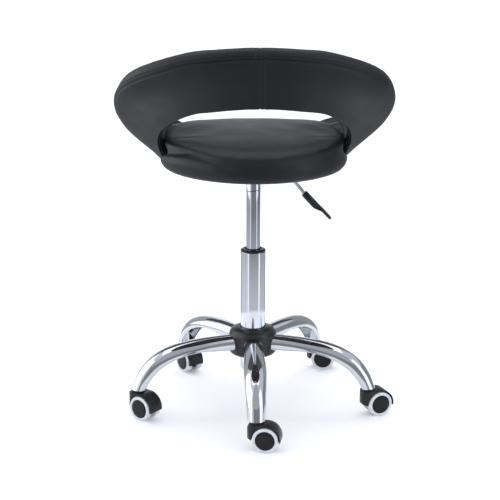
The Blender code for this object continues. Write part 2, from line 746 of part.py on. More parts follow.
def make_seat_plate(seat, steel, black_plastic):
    piece("mounting_plate", plate_mesh(), steel, seat)
    hinge = pivot("lever", seat, (LEVER_PIVOT, 0, LEVER_HEIGHT))
    back_to_axis = Matrix.Translation((-LEVER_PIVOT, 0, -LEVER_HEIGHT))
    rod = rod_along(lever_path(), LEVER_ROD_RADIUS, 10)
    handle = handle_mesh()
    for name, mesh, finish in (("lever_rod", rod, steel), ("lever_handle", handle, black_plastic)):
        mesh.transform(back_to_axis)
        piece(name, mesh, finish, hinge)
    bolt = bolt_mesh()
    for number, (x, y) in enumerate(bolt_places(), start=1):
        piece(f"seat_bolt_{number}", bolt, steel, seat, (x, y, 0))


# ---------------------------------------------------------------- seat and back

def board_mesh():
    disc = turned(pin_outline(BOARD_RADIUS, BOARD_LOW, BOARD_HIGH), SEAT_SIDES)
    holes = [
        prism(circle_points(BOLT_RADIUS + GAP, 12, place), BOARD_LOW - 0.002, BOARD_HIGH - 0.0025)
        for place in bolt_places()
    ]
    return combined(disc, cuts=holes)


def smooth_step(low, high, value):
    share = min(max((value - low) / (high - low), 0.0), 1.0)
    return share * share * (3 - 2 * share)


def cushion_notch(angle, height):
    """Share of the side notch at an angle from the rear.

    It starts further forward low down, and is shallower on top, beside the back's flare.
    """
    turn = abs(angle)
    start = 68 + 16 * (1 - smooth_step(0.510, 0.540, height))
    flare = smooth_step(0.533, 0.550, height) * (1 - smooth_step(100, 114, turn))
    side = smooth_step(start, start + 12, turn) * (1 - smooth_step(138, 152, turn))
    return side * (1 - 0.6 * flare)


def cushion_mesh():
    """Round cushion that wraps over the board's edge, pressed in where the back passes it."""
    recess = BOARD_HIGH + GAP
    outline = [
        (CUSHION_FLAT, recess),
        (BOARD_RADIUS + GAP, recess),
        (BOARD_RADIUS + GAP, BOARD_LOW + 0.0030),
        (0.167, BOARD_LOW + 0.0030),
        (0.1775, BOARD_LOW + 0.0075),
        (0.1822, BOARD_LOW + 0.017),
        (CUSHION_RADIUS, BOARD_LOW + 0.030),
        (0.1795, BOARD_LOW + 0.0465),
        (0.1720, BOARD_LOW + 0.0590),
        (0.1550, BOARD_LOW + 0.0675),
        (0.1150, BOARD_LOW + 0.0722),
        (CUSHION_FLAT, CUSHION_TOP),
    ]
    rings = []
    for radius, height in outline:
        ring = []
        for index in range(SEAT_SIDES):
            angle = -180 + 360 / SEAT_SIDES * index
            reach = max(radius - BOARD_RADIUS - GAP, 0.0) / (CUSHION_RADIUS - BOARD_RADIUS)
            pressed = radius - CUSHION_NOTCH * cushion_notch(angle, height) * reach
            sideways = pressed * math.sin(math.radians(angle)) / CUSHION_RADIUS
            on_top = smooth_step(0.530, 0.555, height) * smooth_step(CUSHION_FLAT, 0.12, radius)
            raised = height + CUSHION_SADDLE * sideways * sideways * on_top
            ring.append(polar(pressed, angle - 90, raised))
        rings.append(ring)
    return lofted(rings)


def station_at(angle):
    """The back's station values at an angle, on smooth curves that never overshoot."""
    turn = abs(angle)
    span = next(i for i, station in enumerate(BACK_STATIONS[1:]) if turn <= station[0])
    first, second = BACK_STATIONS[span], BACK_STATIONS[span + 1]
    width = second[0] - first[0]
    share = (turn - first[0]) / width
    values = []
    for column in range(1, len(first)):
        rise = second[column] - first[column]
        start = slope_at(span, column) * width
        end = slope_at(span + 1, column) * width
        rest = 1 - share
        values.append(
            first[column] + rise * share * share * (3 - 2 * share)
            + share * rest * (start * rest - end * share)
        )
    return values


def slope_at(index, column):
    """Slope of a station value: level at an end, at the rear or where the value turns."""
    if index in (0, len(BACK_STATIONS) - 1):
        return 0.0
    before, here, after = BACK_STATIONS[index - 1:index + 2]
    left = (here[column] - before[column]) / (here[0] - before[0])
    right = (after[column] - here[column]) / (after[0] - here[0])
    if left * right <= 0:
        return 0.0
    return 2 * left * right / (left + right)


def curve(start, end, pulls, shares):
    """Points of a Bezier curve with its control points at shares of the way from start to end.

    Each comes with the unit normal to the left of the curve's heading.
    """
    span = (end[0] - start[0], end[1] - start[1])
    controls = [(start[0] + x * span[0], start[1] + z * span[1]) for x, z in pulls]
    points = []
    for share in shares:
        row = [start, *controls, end]
        while len(row) > 2:
            row = [blend(a, b, share) for a, b in zip(row, row[1:])]
        heading = Vector((row[1][0] - row[0][0], row[1][1] - row[0][1])).normalized()
        points.append((blend(*row, share), (-heading.y, heading.x)))
    return points


def moved(points, distance):
    return [(p[0] + n[0] * distance, p[1] + n[1] * distance) for p, n in points]


def back_outline(angle):
    """Outlines of the shell and of the pad at one angle, as (radius, height) points."""
    rim_r, rim_z, edge_r, edge_z, pad_r, pad_z = station_at(angle)
    size = min(1.0, (rim_z - edge_z) / 0.10)
    depth = RIM_DEPTH * size
    height = RIM_HEIGHT * size * (1 + RIM_SIDE_GAIN * math.sin(math.radians(angle)) ** 2)
    seam = (rim_r, rim_z - height)
    outer = curve((edge_r, edge_z), seam, WALL_PULLS, BACK_STEPS)
    shell = moved(outer, 0.0) + moved(outer, SHELL_THICKNESS)[::-1]
    shell += back_foot(angle, shell[-1], shell[0])
    roll = [
        (seam[0] - depth + depth * math.cos(turn),
         seam[1] + LAYER_GAP + (height - LAYER_GAP) * math.sin(turn))
        for turn in (math.pi * index / 6 for index in range(7))
    ]
    face = curve((pad_r, pad_z), roll[-1], FACE_PULLS, BACK_STEPS[:-1])[::-1]
    pad = roll + moved(face, 0.0) + moved(outer[1:], SHELL_THICKNESS + LAYER_GAP)
    pad[-1] = (pad[-1][0], pad[-1][1] + LAYER_GAP)
    return shell, pad[::-1]


def back_foot(angle, inner_corner, outer_corner):
    """The shell's end: plain, or turned in under the seat board where the back is fixed."""
    plain = [blend(inner_corner, outer_corner, share) for share in (0.25, 0.5, 0.75)]
    if not FOOT_ANGLES[0] <= abs(angle) <= FOOT_ANGLES[1]:
        return plain
    return [(FOOT_HEEL, FOOT_HIGH), (FOOT_REACH, FOOT_HIGH), (FOOT_REACH, FOOT_LOW)]


def back_meshes():
    """Shell and pad, lofted from tip to tip; the ends narrow to rounded tips."""
    shell_rings, pad_rings = [], []
    for angle in [-turn for turn in reversed(BACK_ANGLES[1:])] + list(BACK_ANGLES):
        shell, pad = back_outline(angle)
        scale = TIP_SCALES.get(abs(angle), 1.0)
        centre = [sum(values) / len(shell + pad) for values in zip(*(shell + pad))]
        for outline, rings in ((shell, shell_rings), (pad, pad_rings)):
            shrunk = [blend(centre, point, scale) for point in outline]
            rings.append([polar(radius, angle - 90, height) for radius, height in shrunk])
    return lofted(shell_rings), lofted(pad_rings)


def make_seat(seat, plywood, leather):
    piece("seat_board", board_mesh(), plywood, seat)
    piece("seat_cushion", cushion_mesh(), leather, seat, smooth=60)
    shell, pad = back_meshes()
    piece("back_shell", shell, leather, seat, smooth=60)
    piece("back_cushion", pad, leather, seat, smooth=60)


def main():
    clear_scene()
    chrome = material("chrome", (0.80, 0.81, 0.83), 0.08, 1.0)
    steel = material("zinc_steel", (0.52, 0.53, 0.55), 0.35, 1.0)
    black_plastic = material("black_plastic", (0.022, 0.022, 0.024), 0.40)
    grey_rubber = material("grey_tread", (0.58, 0.60, 0.63), 0.45)
    plywood = material("plywood", (0.45, 0.31, 0.18), 0.70)
    leather = material("black_leather", (0.020, 0.021, 0.025), 0.42)
    stool = pivot("stool", location=(COLUMN_X, COLUMN_Y, 0))
    base, caster_pivots = make_base(stool, chrome, steel, black_plastic)
    seat = pivot("seat", stool)
    make_casters(base, caster_pivots, chrome, steel, black_plastic, grey_rubber)
    make_gas_lift(base, seat, chrome, steel, black_plastic)
    make_seat_plate(seat, steel, black_plastic)
    make_seat(seat, plywood, leather)


main()
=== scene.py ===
"""The stylist stool's looks: upholstery, chrome, plastics, camera, light and floor.

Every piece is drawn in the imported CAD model's frame (metres, +Z up), round the gas
lift's column. Angles round the column are in degrees. Those of the back and of the seat
are measured from the rear, where the back is highest, positive towards +X.
"""
import math

import bmesh
import bpy
import numpy as np
from mathutils import Matrix, Vector, kdtree, noise


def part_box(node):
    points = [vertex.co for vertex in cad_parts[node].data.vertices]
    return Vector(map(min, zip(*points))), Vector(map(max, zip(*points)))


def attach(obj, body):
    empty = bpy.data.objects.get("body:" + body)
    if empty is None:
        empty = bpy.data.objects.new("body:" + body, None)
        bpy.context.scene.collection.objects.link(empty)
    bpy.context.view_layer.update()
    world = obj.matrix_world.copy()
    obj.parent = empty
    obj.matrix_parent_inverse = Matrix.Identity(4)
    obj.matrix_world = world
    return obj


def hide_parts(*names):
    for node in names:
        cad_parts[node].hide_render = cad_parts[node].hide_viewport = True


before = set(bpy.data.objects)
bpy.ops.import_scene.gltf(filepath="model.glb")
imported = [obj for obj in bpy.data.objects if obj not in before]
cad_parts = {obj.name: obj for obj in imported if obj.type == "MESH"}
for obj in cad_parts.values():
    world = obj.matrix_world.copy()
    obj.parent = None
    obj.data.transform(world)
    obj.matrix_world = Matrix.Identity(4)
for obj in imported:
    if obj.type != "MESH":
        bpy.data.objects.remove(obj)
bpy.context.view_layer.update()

MM = 0.001
WELD_DISTANCE = 1e-6


def middle_of(node):
    """The middle of a CAD node's box."""
    low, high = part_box(node)
    return (low + high) / 2


COLUMN = middle_of("column_tube")
TO_COLUMN = Matrix.Translation((COLUMN.x, COLUMN.y, 0.0))

# Base
ARM_COUNT = 5
FIRST_ARM_ANGLE = -91.3     # from +X
ARM_WALL = 0.002
ARM_ARCH = 0.0175
ARM_ARCH_POWER = 1.9
# Stations from hub to caster: radius and height of the ridge, then of the lower edge, width
ARM_STATIONS = (
    (0.0296, 0.1500, 0.0296, 0.1215, 0.036),
    (0.0750, 0.1500, 0.0750, 0.1235, 0.039),
    (0.1150, 0.1485, 0.1150, 0.1260, 0.043),
    (0.1550, 0.1435, 0.1500, 0.1225, 0.045),
    (0.1900, 0.1330, 0.1780, 0.1130, 0.044),
    (0.2200, 0.1150, 0.2030, 0.0980, 0.041),
    (0.2420, 0.0880, 0.2220, 0.0770, 0.0375),
    (0.2555, 0.0580, 0.2325, 0.0580, 0.034),
)
CASTER_CIRCLE = 0.2426
COVER_RADIUS = 0.048
COVER_TOP = 0.164
COVER_SPLIT = 0.129
COVER_BOTTOM = 0.1095
COVER_WALL = 0.0025
COVER_BORE = 0.0255

# Gas lift
COLUMN_RADIUS = 0.025
COLUMN_WALL = 0.0015
CYLINDER_RADIUS = 0.014
RING_HEIGHT = 0.447          # of the dark ring left round the cylinder
RING_TILT = 9.0
RING_THICKNESS = 0.0012
RING_PROUD = 0.0002          # less than the bush's play, so that it passes

# Casters
CASTER_YAWS = (-12.0, 19.0, -11.0, -58.0, -41.0)
TRAIL = 0.019
WHEEL_RADIUS = 0.025
TYRE_INNER_RADIUS = 0.019
WHEEL_INNER_FACE = 0.0075
WHEEL_OUTER_FACE = 0.020
TYRE_OUTER_FACE = 0.019
WEB_HALF = 0.007
HOOD_RADIUS = 0.029
HOOD_INNER_RADIUS = 0.027
HOOD_HALF_WIDTH = 0.0175
HOOD_BACK = 0.0175
HOOD_TOP = 0.0545
BOSS_RADIUS = 0.0135
BOSS_TOP = 0.0575

# Lever
LEVER_HEIGHT = 0.4830
LEVER_PIVOT = 0.034
LEVER_ROD_RADIUS = 0.0035
LEVER_BEND = 0.0645
LEVER_BEND_RADIUS = 0.012
LEVER_SLOPE = 50.5
LEVER_INNER_END = -0.005
HANDLE_START = 0.1005
HANDLE_SLOPE = 47.5
HANDLE_LENGTH = 0.076
HANDLE_GRIP_WIDTH = 0.026
HANDLE_NECK_WIDTH = 0.016
HANDLE_NECK_DEPTH = 0.0137
HANDLE_BLADE_DEPTH = 0.0053
THREAD_PITCH = 0.0017
THREAD_LENGTH = 0.024
THREAD_STEPS = 20           # in one turn

# Seat
BOARD_RADIUS = 0.150
CUSHION_RADIUS = 0.183
CUSHION_SIDES = 216
CUSHION_NOTCH = 0.0153               # how far the back's arms press the cushion in
NOTCH_START = (68, 84)               # angles where that begins, at the top and at the bottom
NOTCH_START_HEIGHTS = (0.510, 0.540)
NOTCH_RUN_IN = 12
NOTCH_END = (138, 152)
LAP_HEIGHTS = (0.530, 0.546)         # above these, and up to the angles below, the pad laps over
LAP_ANGLES = (100, 114)              # the cushion and doesn't press it in
CUSHION_SADDLE = (0.009, 0.018)      # rise of the sides at the rear half and at the front half
SADDLE_FRONT = (80, 112)
SADDLE_HEIGHTS = (0.530, 0.555)
SADDLE_RADII = (0.060, 0.120)
# Angle from the rear, height and depth of the soft crease along the cushion's shoulder
CREASE = (
    (-90, 0.522, 0.0), (-80, 0.530, 2.4), (-66, 0.538, 4.4), (-50, 0.5435, 4.8), (-38, 0.542, 3.8),
    (-26, 0.537, 2.6), (-12, 0.530, 1.0), (0, 0.524, 0.0), (58, 0.534, 0.0), (70, 0.536, 1.2),
    (80, 0.528, 1.2), (90, 0.522, 0.0),
)
CREASE_WIDTH = 0.0055
UNDER_EDGE_STEPS = 14       # of the cushion's outline, up to where it leaves the board's edge

# Back
RIM_DEPTH = 0.0185
RIM_HEIGHT = 0.0195
RIM_SIDE_GAIN = 0.45
RIM_FULL_WALL = 0.10         # the back's height from which on its rim has its full size
SHELL_THICKNESS = 0.006
LAYER_GAP = 0.0005
# Angle, then radius and height of the rim's top, of the shell's lower edge and of the pad's
BACK_STATIONS = (
    (0.0, 0.2110, 0.7545, 0.205, 0.6435, 0.187, 0.6485),
    (30.0, 0.2300, 0.7480, 0.207, 0.6320, 0.187, 0.6380),
    (50.0, 0.2555, 0.7270, 0.199, 0.6080, 0.180, 0.6140),
    (66.0, 0.2710, 0.6990, 0.196, 0.5815, 0.178, 0.5880),
    (78.0, 0.2735, 0.6665, 0.192, 0.5540, 0.175, 0.5630),
    (90.0, 0.2625, 0.6260, 0.180, 0.5140, 0.171, 0.5370),
    (99.0, 0.2490, 0.6080, 0.172, 0.4885, 0.1705, 0.5270),
    (122.0, 0.2070, 0.5720, 0.172, 0.4885, 0.1705, 0.5270),
    (136.5, 0.1880, 0.5580, 0.179, 0.5120, 0.1765, 0.5300),
)
# Angle, then how far the pad's edge reaches inwards and up from there, to lie on the cushion
PAD_LAP = (
    (0.0, 0.0, 0.0), (80.0, 0.0, 0.0), (86.0, 0.0, 0.006), (92.0, 0.011, 0.029),
    (99.0, 0.021, 0.043), (106.0, 0.020, 0.045), (114.0, 0.012, 0.040), (122.0, 0.004, 0.024),
    (136.5, 0.0, 0.006),
)
# Shares of width and height that the wall's curve and the pad's inner face are pulled by
WALL_PULLS = ((0.31, 0.43), (0.91, 0.56))
FACE_PULL = (0.15, 0.50)
TIP_START = 127.0               # angle from which the ends are rounded off
TIP_END = 136.5

# Studio
# Cards round the stool that only reflections show, from the floor up and then over it:
# angles from the rear, brightness near the stool and far from it
CARDS = (
    ("card_front", -40, 49, 0.74, 0.34), ("card_left", -125, -54, 0.95, 0.60),
    ("card_right", 64, 125, 0.78, 0.36), ("card_far_left", -168, -125, 0.62, 0.55),
    ("card_far_right", 125, 168, 0.52, 0.45),
)
CARD_PROFILE = ((0.60, 0.004), (3.6, 0.004), (3.6, 2.0))
CEILINGS = (
    ("ceiling_front", -48, 48, 0.62, 0.62), ("ceiling_left", -140, -48, 0.95, 0.95),
    ("ceiling_right", 48, 140, 0.85, 0.85), ("ceiling_back", 140, 220, 0.12, 0.12),
)
CEILING_PROFILE = ((3.6, 2.0), (2.6, 3.0), (1.2, 3.4), (0.02, 3.4))
SOFTBOXES = (("softbox_left", -130, -58, 2.2, 2.2), ("softbox_right", 44, 78, 1.8, 1.8))
SOFTBOX_PROFILE = ((2.4, 0.01), (2.4, 1.5), (2.0, 2.4))
CARD_STEPS = 25
CARD_FADE = (0.7, 2.0)          # distances from the middle over which a card's brightness changes
STUDIO_TINT = (0.925, 0.955, 1.0)
WORLD_STRENGTH = 1.15
FLOOR_REACH = 30.0
CAMERA_PLACE = (-0.1475, -2.695, 1.092)
CAMERA_TURNS = (-3.0, 90 - 15.9, 0.27)      # yaw, pitch and roll in degrees
CAMERA_LENS = 101.1
OVERHEAD_PLACE = (0.0, 0.6, 2.6)
OVERHEAD_TARGET = (0, 0, 0.4)
OVERHEAD_SIZE = (2.6, 1.8)
OVERHEAD_POWER = 22

# Materials
# Name, tint, least and greatest roughness, waviness
CHROMES = (
    ("arm_chrome", (0.56, 0.58, 0.62), 0.045, 0.10, 0.10),
    ("column_chrome", (0.62, 0.64, 0.69), 0.05, 0.10, 0.02),
    ("cylinder_chrome", (0.50, 0.52, 0.58), 0.04, 0.09, 0.02),
)
# Name, dark and light tone, least and greatest roughness, grain, shine
PLASTICS = (
    ("cover_plastic", (0.009, 0.009, 0.011), (0.014, 0.014, 0.017), 0.24, 0.36, 0.08, 0.40),
    ("hood_plastic", (0.007, 0.007, 0.009), (0.011, 0.011, 0.013), 0.24, 0.36, 0.08, 0.28),
    ("cap_plastic", (0.007, 0.008, 0.010), (0.011, 0.012, 0.014), 0.36, 0.48, 0.12, 0.20),
)

# Upholstery
CLOTH_STEPS = 20
CLOTH_NEIGHBOURS = 8            # simulated points that a vertex takes its movement from
PUFF_LIMIT = 0.003
PAD_HOLD = 0.009                # how far from its seams the pad can't rise
FILLET_STEPS = 5
SEAM_OFFSETS = (1.4, 2.2, 3.0, 3.8, 5.0, 7.5)      # mm from a seam where its shape is drawn
STITCH_OFFSET = 3.8                                # mm from a seam to its row of stitches
CENTRE_STITCH_OFFSET = 8.3                         # the same, beside the centre seam
CENTRE_SEAM_REACH = 25                             # mm from the centre seam that it presses in
CENTRE_STITCH_END = 28                             # the pad's column where they end
WALL_STEPS = 17                                    # of the shell's outline, up to the seam
ROLL_STEPS = 19                                    # of the pad's rim, past the seam
WELTS = (("outer", 0, 1.0, -0.2), ("inner", 40, 4.6, 2.6))     # first angle, mm inwards and up
WELT_END = 96
WELT_RADIUS = 0.0017
SIDES = ((-1, "left"), (1, "right"))
FOOT_ANGLES = (103.5, 107.0, 110.5, 114.0, 117.5)


# ---------------------------------------------------------------- shapes

def mesh_from(points, faces, weld=True):
    """A mesh whose faces all point outwards; a welded one has its doubled corners merged."""
    bm = bmesh.new()
    corners = [bm.verts.new(point) for point in points]
    for face in faces:
        bm.faces.new([corners[index] for index in face])
    if weld:
        bmesh.ops.remove_doubles(bm, verts=bm.verts[:], dist=WELD_DISTANCE)
    bmesh.ops.recalc_face_normals(bm, faces=bm.faces[:])
    if weld:
        bmesh.ops.dissolve_degenerate(bm, dist=WELD_DISTANCE, edges=bm.edges[:])
        loose = [vert for vert in bm.verts if not vert.link_faces]
        bmesh.ops.delete(bm, geom=loose, context="VERTS")
    mesh = bpy.data.meshes.new("surface")
    bm.to_mesh(mesh)
    bm.free()
    return mesh


def grid_faces(rows, columns, first=0, looped=False, rings=True):
    """Quads between the rows of a grid; each row is a closed ring or an open line."""
    faces = []
    for row in range(rows if looped else rows - 1):
        here = first + row * columns
        following = first + (row + 1) % rows * columns
        for column in range(columns if rings else columns - 1):
            beside = (column + 1) % columns
            faces.append((here + column, here + beside, following + beside, following + column))
    return faces


def lofted(rings):
    """Closed skin over a row of rings, with flat ends."""
    columns = len(rings[0])
    points = [point for ring in rings for point in ring]
    faces = grid_faces(len(rings), columns)
    faces.append(list(range(columns)))
    faces.append(list(range(len(points) - columns, len(points))))
    return mesh_from(points, faces, weld=False)


def filleted(corners, steps=FILLET_STEPS):
    """Corners (x, y, fillet radius) of a closed outline, each rounded by its own arc."""
    outline = []
    count = len(corners)
    for index, (x, y, radius) in enumerate(corners):
        here = Vector((x, y))
        if radius == 0:
            outline.append(here)
            continue
        before = Vector(corners[index - 1][:2]) - here
        after = Vector(corners[(index + 1) % count][:2]) - here
        reach = radius / math.tan(before.angle(after) / 2)
        reach = min(reach, 0.48 * before.length, 0.48 * after.length)
        start = here + before.normalized() * reach
        end = here + after.normalized() * reach
        for step in range(steps + 1):
            share = step / steps
            outline.append(
                start * (1 - share) ** 2 + here * 2 * share * (1 - share) + end * share ** 2
            )
    return outline


def turned(corners, sides=96):
    """A filleted outline of (radius, height, fillet) corners, turned round Z."""
    outline = filleted(corners)
    points = []
    for index in range(sides):
        turn = math.tau * index / sides
        for radius, height in outline:
            radius = max(radius, 0.0)
            points.append((radius * math.cos(turn), radius * math.sin(turn), height))
    return mesh_from(points, grid_faces(sides, len(outline), looped=True))


def prism(outline, low, high, place=Matrix()):
    """An outline in X and Y drawn out from a low to a high level."""
    rings = [[place @ Vector((x, y, level)) for x, y in outline] for level in (low, high)]
    return lofted(rings)


def arc_points(radius, sides, centre=(0.0, 0.0), first=0.0, last=math.tau):
    """Points on an arc; the last point of a full turn is left out."""
    steps = sides if last - first >= math.tau - 1e-9 else sides - 1
    turns = [first + (last - first) * index / steps for index in range(sides)]
    return [(centre[0] + radius * math.cos(turn), centre[1] + radius * math.sin(turn)) for turn in turns]


def placed(name, data):
    """A new object, linked to the scene."""
    thing = bpy.data.objects.new(name, data)
    bpy.context.scene.collection.objects.link(thing)
    return thing


def evaluated(thing):
    """The object's mesh with its modifiers applied."""
    graph = bpy.context.evaluated_depsgraph_get()
    return bpy.data.meshes.new_from_object(thing.evaluated_get(graph))


def round_edges(thing, width, segments, angle):
    """Bevels the object's sharp edges."""
    rounding = thing.modifiers.new("rounding", "BEVEL")
    rounding.width = width
    rounding.segments = segments
    rounding.limit_method = "ANGLE"
    rounding.angle_limit = math.radians(angle)


def combined(base, cuts=(), joins=(), keeps=(), bevel=0.0):
    """Cut, join or keep shapes in a mesh, and round its edges off; the helpers are removed."""
    host = placed("host", base)
    helpers = []
    for operation, shapes in (("INTERSECT", keeps), ("UNION", joins), ("DIFFERENCE", cuts)):
        for shape in shapes:
            helper = placed("helper", shape)
            helpers.append(helper)
            boolean = host.modifiers.new("boolean", "BOOLEAN")
            boolean.operation = operation
            boolean.solver = "EXACT"
            boolean.object = helper
    if bevel:
        round_edges(host, bevel, 3, 38)
    mesh = evaluated(host)
    for item in [host, *helpers]:
        bpy.data.objects.remove(item)
    return mesh


def joined(meshes):
    """Several meshes as one."""
    bm = bmesh.new()
    for mesh in meshes:
        bm.from_mesh(mesh)
    whole = bpy.data.meshes.new("joined")
    bm.to_mesh(whole)
    bm.free()
    return whole


def tube(path, radius, sides=16, looped=False):
    """A round bar along a path of points; the ring's frame is carried along the path."""
    rings = []
    count = len(path)
    side = None
    for index, point in enumerate(path):
        before = path[(index - 1) % count] if looped or index else path[index]
        after = path[(index + 1) % count] if looped or index < count - 1 else path[index]
        heading = (Vector(after) - Vector(before)).normalized()
        if side is None:
            side = heading.orthogonal().normalized()
        side = (side - heading * side.dot(heading)).normalized()
        other = heading.cross(side)
        rings.append([
            Vector(point) + (side * math.cos(turn) + other * math.sin(turn)) * radius
            for turn in (math.tau * step / sides for step in range(sides))
        ])
    if looped:
        points = [corner for ring in rings for corner in ring]
        return mesh_from(points, grid_faces(count, sides, looped=True))
    return lofted(rings)


def polar(radius, angle, height):
    """A point of the seat or back, with its angle in degrees from the rear."""
    turn = math.radians(angle - 90)
    return Vector((radius * math.cos(turn), radius * math.sin(turn), height))


def smooth_step(low, high, value):
    """0 below low, 1 above high and a smooth ramp between them."""
    share = np.clip((value - low) / (high - low), 0.0, 1.0)
    return share * share * (3 - 2 * share)


def add_piece(name, mesh, finish, body, stands_for=(), sharp=35, place=TO_COLUMN):
    """A shown piece, shaded smooth, that rides on a CAD body."""
    mesh.transform(place)
    mesh.shade_smooth()
    mesh.set_sharp_from_angle(angle=math.radians(sharp))
    mesh.materials.clear()
    mesh.materials.append(finish)
    piece = placed(name, mesh)
    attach(piece, body)
    if stands_for:
        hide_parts(*stands_for)
    return piece


# ---------------------------------------------------------------- materials

class Finish:
    """A Principled material and short ways to add texture nodes to it."""

    def __init__(self, name, colour, roughness, metallic=0.0, **settings):
        self.material = bpy.data.materials.new(name)
        self.material.use_nodes = True
        self.tree = self.material.node_tree
        self.shader = self.tree.nodes["Principled BSDF"]
        self.shader.inputs["Base Color"].default_value = (*colour, 1.0)
        self.shader.inputs["Roughness"].default_value = roughness
        self.shader.inputs["Metallic"].default_value = metallic
        for socket, value in settings.items():
            self.shader.inputs[socket.replace("_", " ")].default_value = value
        self.coordinates = self.tree.nodes.new("ShaderNodeTexCoord").outputs["Object"]
        self.last_bump = None

    def node(self, kind, **settings):
        made = self.tree.nodes.new(kind)
        for name, value in settings.items():
            setattr(made, name, value)
        return made

    def link(self, start, end):
        self.tree.links.new(start, end)

    def stretched(self, scale):
        """Coordinates stretched along an axis, for grain that runs one way."""
        mapping = self.node("ShaderNodeMapping")
        mapping.inputs["Scale"].default_value = scale
        self.link(self.coordinates, mapping.inputs["Vector"])
        return mapping.outputs["Vector"]

    def noise(self, scale, detail=3.0, where=None):
        made = self.node("ShaderNodeTexNoise")
        made.inputs["Scale"].default_value = scale
        made.inputs["Detail"].default_value = detail
        self.link(where or self.coordinates, made.inputs["Vector"])
        return made.outputs["Fac"]

    def cells(self, scale, feature="F1"):
        made = self.node("ShaderNodeTexVoronoi", feature=feature)
        made.inputs["Scale"].default_value = scale
        self.link(self.coordinates, made.inputs["Vector"])
        return made.outputs["Distance"]

    def ranged(self, value, low, high, start=0.3, end=0.7):
        """A texture value carried over to another range."""
        ranging = self.node("ShaderNodeMapRange")
        ranging.inputs["From Min"].default_value = start
        ranging.inputs["From Max"].default_value = end
        ranging.inputs["To Min"].default_value = low
        ranging.inputs["To Max"].default_value = high
        self.link(value, ranging.inputs["Value"])
        return ranging.outputs["Result"]

    def tones(self, texture, first, second, *span):
        """Colour that goes from one tone to another with a texture."""
        mix = self.node("ShaderNodeMix", data_type="RGBA")
        mix.inputs["A"].default_value = (*first, 1.0)
        mix.inputs["B"].default_value = (*second, 1.0)
        self.link(self.ranged(texture, 0.0, 1.0, *span), mix.inputs["Factor"])
        self.link(mix.outputs["Result"], self.shader.inputs["Base Color"])

    def gloss(self, texture, low, high, *span):
        """Roughness that goes from low to high with a texture."""
        self.link(self.ranged(texture, low, high, *span), self.shader.inputs["Roughness"])

    def bump(self, value, strength, distance):
        """Adds a layer of relief over those already there."""
        layer = self.node("ShaderNodeBump")
        layer.inputs["Strength"].default_value = strength
        layer.inputs["Distance"].default_value = distance
        self.link(value, layer.inputs["Height"])
        if self.last_bump:
            self.link(self.last_bump, layer.inputs["Normal"])
        self.last_bump = layer.outputs["Normal"]
        self.link(self.last_bump, self.shader.inputs["Normal"])


def leather_finish():
    """Black artificial leather: fine pebble grain, soft sheen, duller where it is handled."""
    finish = Finish(
        "black_leather", (0.009, 0.0095, 0.012), 0.46, Specular_IOR_Level=0.30,
        Specular_Tint=(0.90, 0.94, 1.0, 1.0), Coat_Weight=0.04, Coat_Roughness=0.30,
    )
    finish.tones(finish.noise(9.0, 2.0), (0.0048, 0.0053, 0.0080), (0.0080, 0.0087, 0.0125))
    finish.gloss(finish.noise(26.0, 4.0), 0.43, 0.49)
    finish.bump(finish.noise(38.0, 2.0), 0.03, 0.0008)
    finish.bump(finish.cells(820.0, "DISTANCE_TO_EDGE"), 0.16, 0.00022)
    return finish.material


def thread_finish():
    """Waxed black thread, with the twist's fine relief."""
    finish = Finish("black_thread", (0.008, 0.008, 0.010), 0.50)
    finish.bump(finish.noise(2600.0, 1.0), 0.4, 0.0002)
    finish.tones(finish.noise(300.0, 1.0), (0.006, 0.006, 0.008), (0.014, 0.015, 0.019))
    return finish.material


def chrome_finish(name, colour, low, high, wave):
    """Chrome plate: nearly a mirror, with faint haze and the waviness of polished steel."""
    finish = Finish(name, colour, low, 1.0)
    finish.gloss(finish.noise(45.0, 4.0), low, high)
    finish.bump(finish.noise(16.0, 1.0), wave, 0.0016)
    return finish.material


def cloth_finish():
    """Black non-woven cloth, matt, with its pressed dot pattern."""
    finish = Finish("black_cloth", (0.012, 0.012, 0.013), 0.85, Sheen_Weight=0.1)
    dots = finish.cells(420.0)
    finish.gloss(dots, 0.80, 0.95, 0.0, 0.8)
    finish.bump(dots, 0.30, 0.0003)
    return finish.material


def steel_finish():
    """Zinc-plated steel with a faint crystalline mottling and rolled grain."""
    finish = Finish("zinc_steel", (0.50, 0.51, 0.53), 0.34, 1.0)
    finish.tones(finish.cells(160.0), (0.42, 0.43, 0.45), (0.58, 0.59, 0.61), 0.0, 0.9)
    finish.gloss(finish.noise(90.0, 3.0), 0.26, 0.42)
    finish.bump(finish.noise(700.0, 2.0, finish.stretched((1.0, 0.1, 1.0))), 0.08, 0.0002)
    return finish.material


def black_steel_finish():
    """Black powder coat on the seat plate, with its orange-peel texture."""
    finish = Finish("black_steel", (0.020, 0.020, 0.022), 0.45)
    finish.gloss(finish.noise(60.0, 3.0), 0.38, 0.52)
    finish.bump(finish.noise(520.0, 2.0), 0.18, 0.0004)
    return finish.material


def plastic_finish(name, dark, light, low, high, grain, shine):
    """Moulded black nylon: spark-eroded texture, slightly scuffed and uneven in gloss."""
    finish = Finish(name, light, low, Specular_IOR_Level=shine)
    finish.tones(finish.noise(30.0, 3.0), dark, light)
    finish.gloss(finish.noise(70.0, 4.0), low, high)
    finish.bump(finish.noise(1500.0, 2.0), grain, 0.0003)
    return finish.material


def tread_finish():
    """Pale grey soft tread, slightly dirtied."""
    finish = Finish("grey_tread", (0.62, 0.64, 0.69), 0.48, Subsurface_Weight=0.05)
    finish.tones(finish.noise(140.0, 4.0), (0.55, 0.57, 0.62), (0.67, 0.69, 0.74))
    finish.gloss(finish.noise(200.0, 2.0), 0.42, 0.58)
    finish.bump(finish.noise(900.0, 2.0), 0.10, 0.0002)
    return finish.material


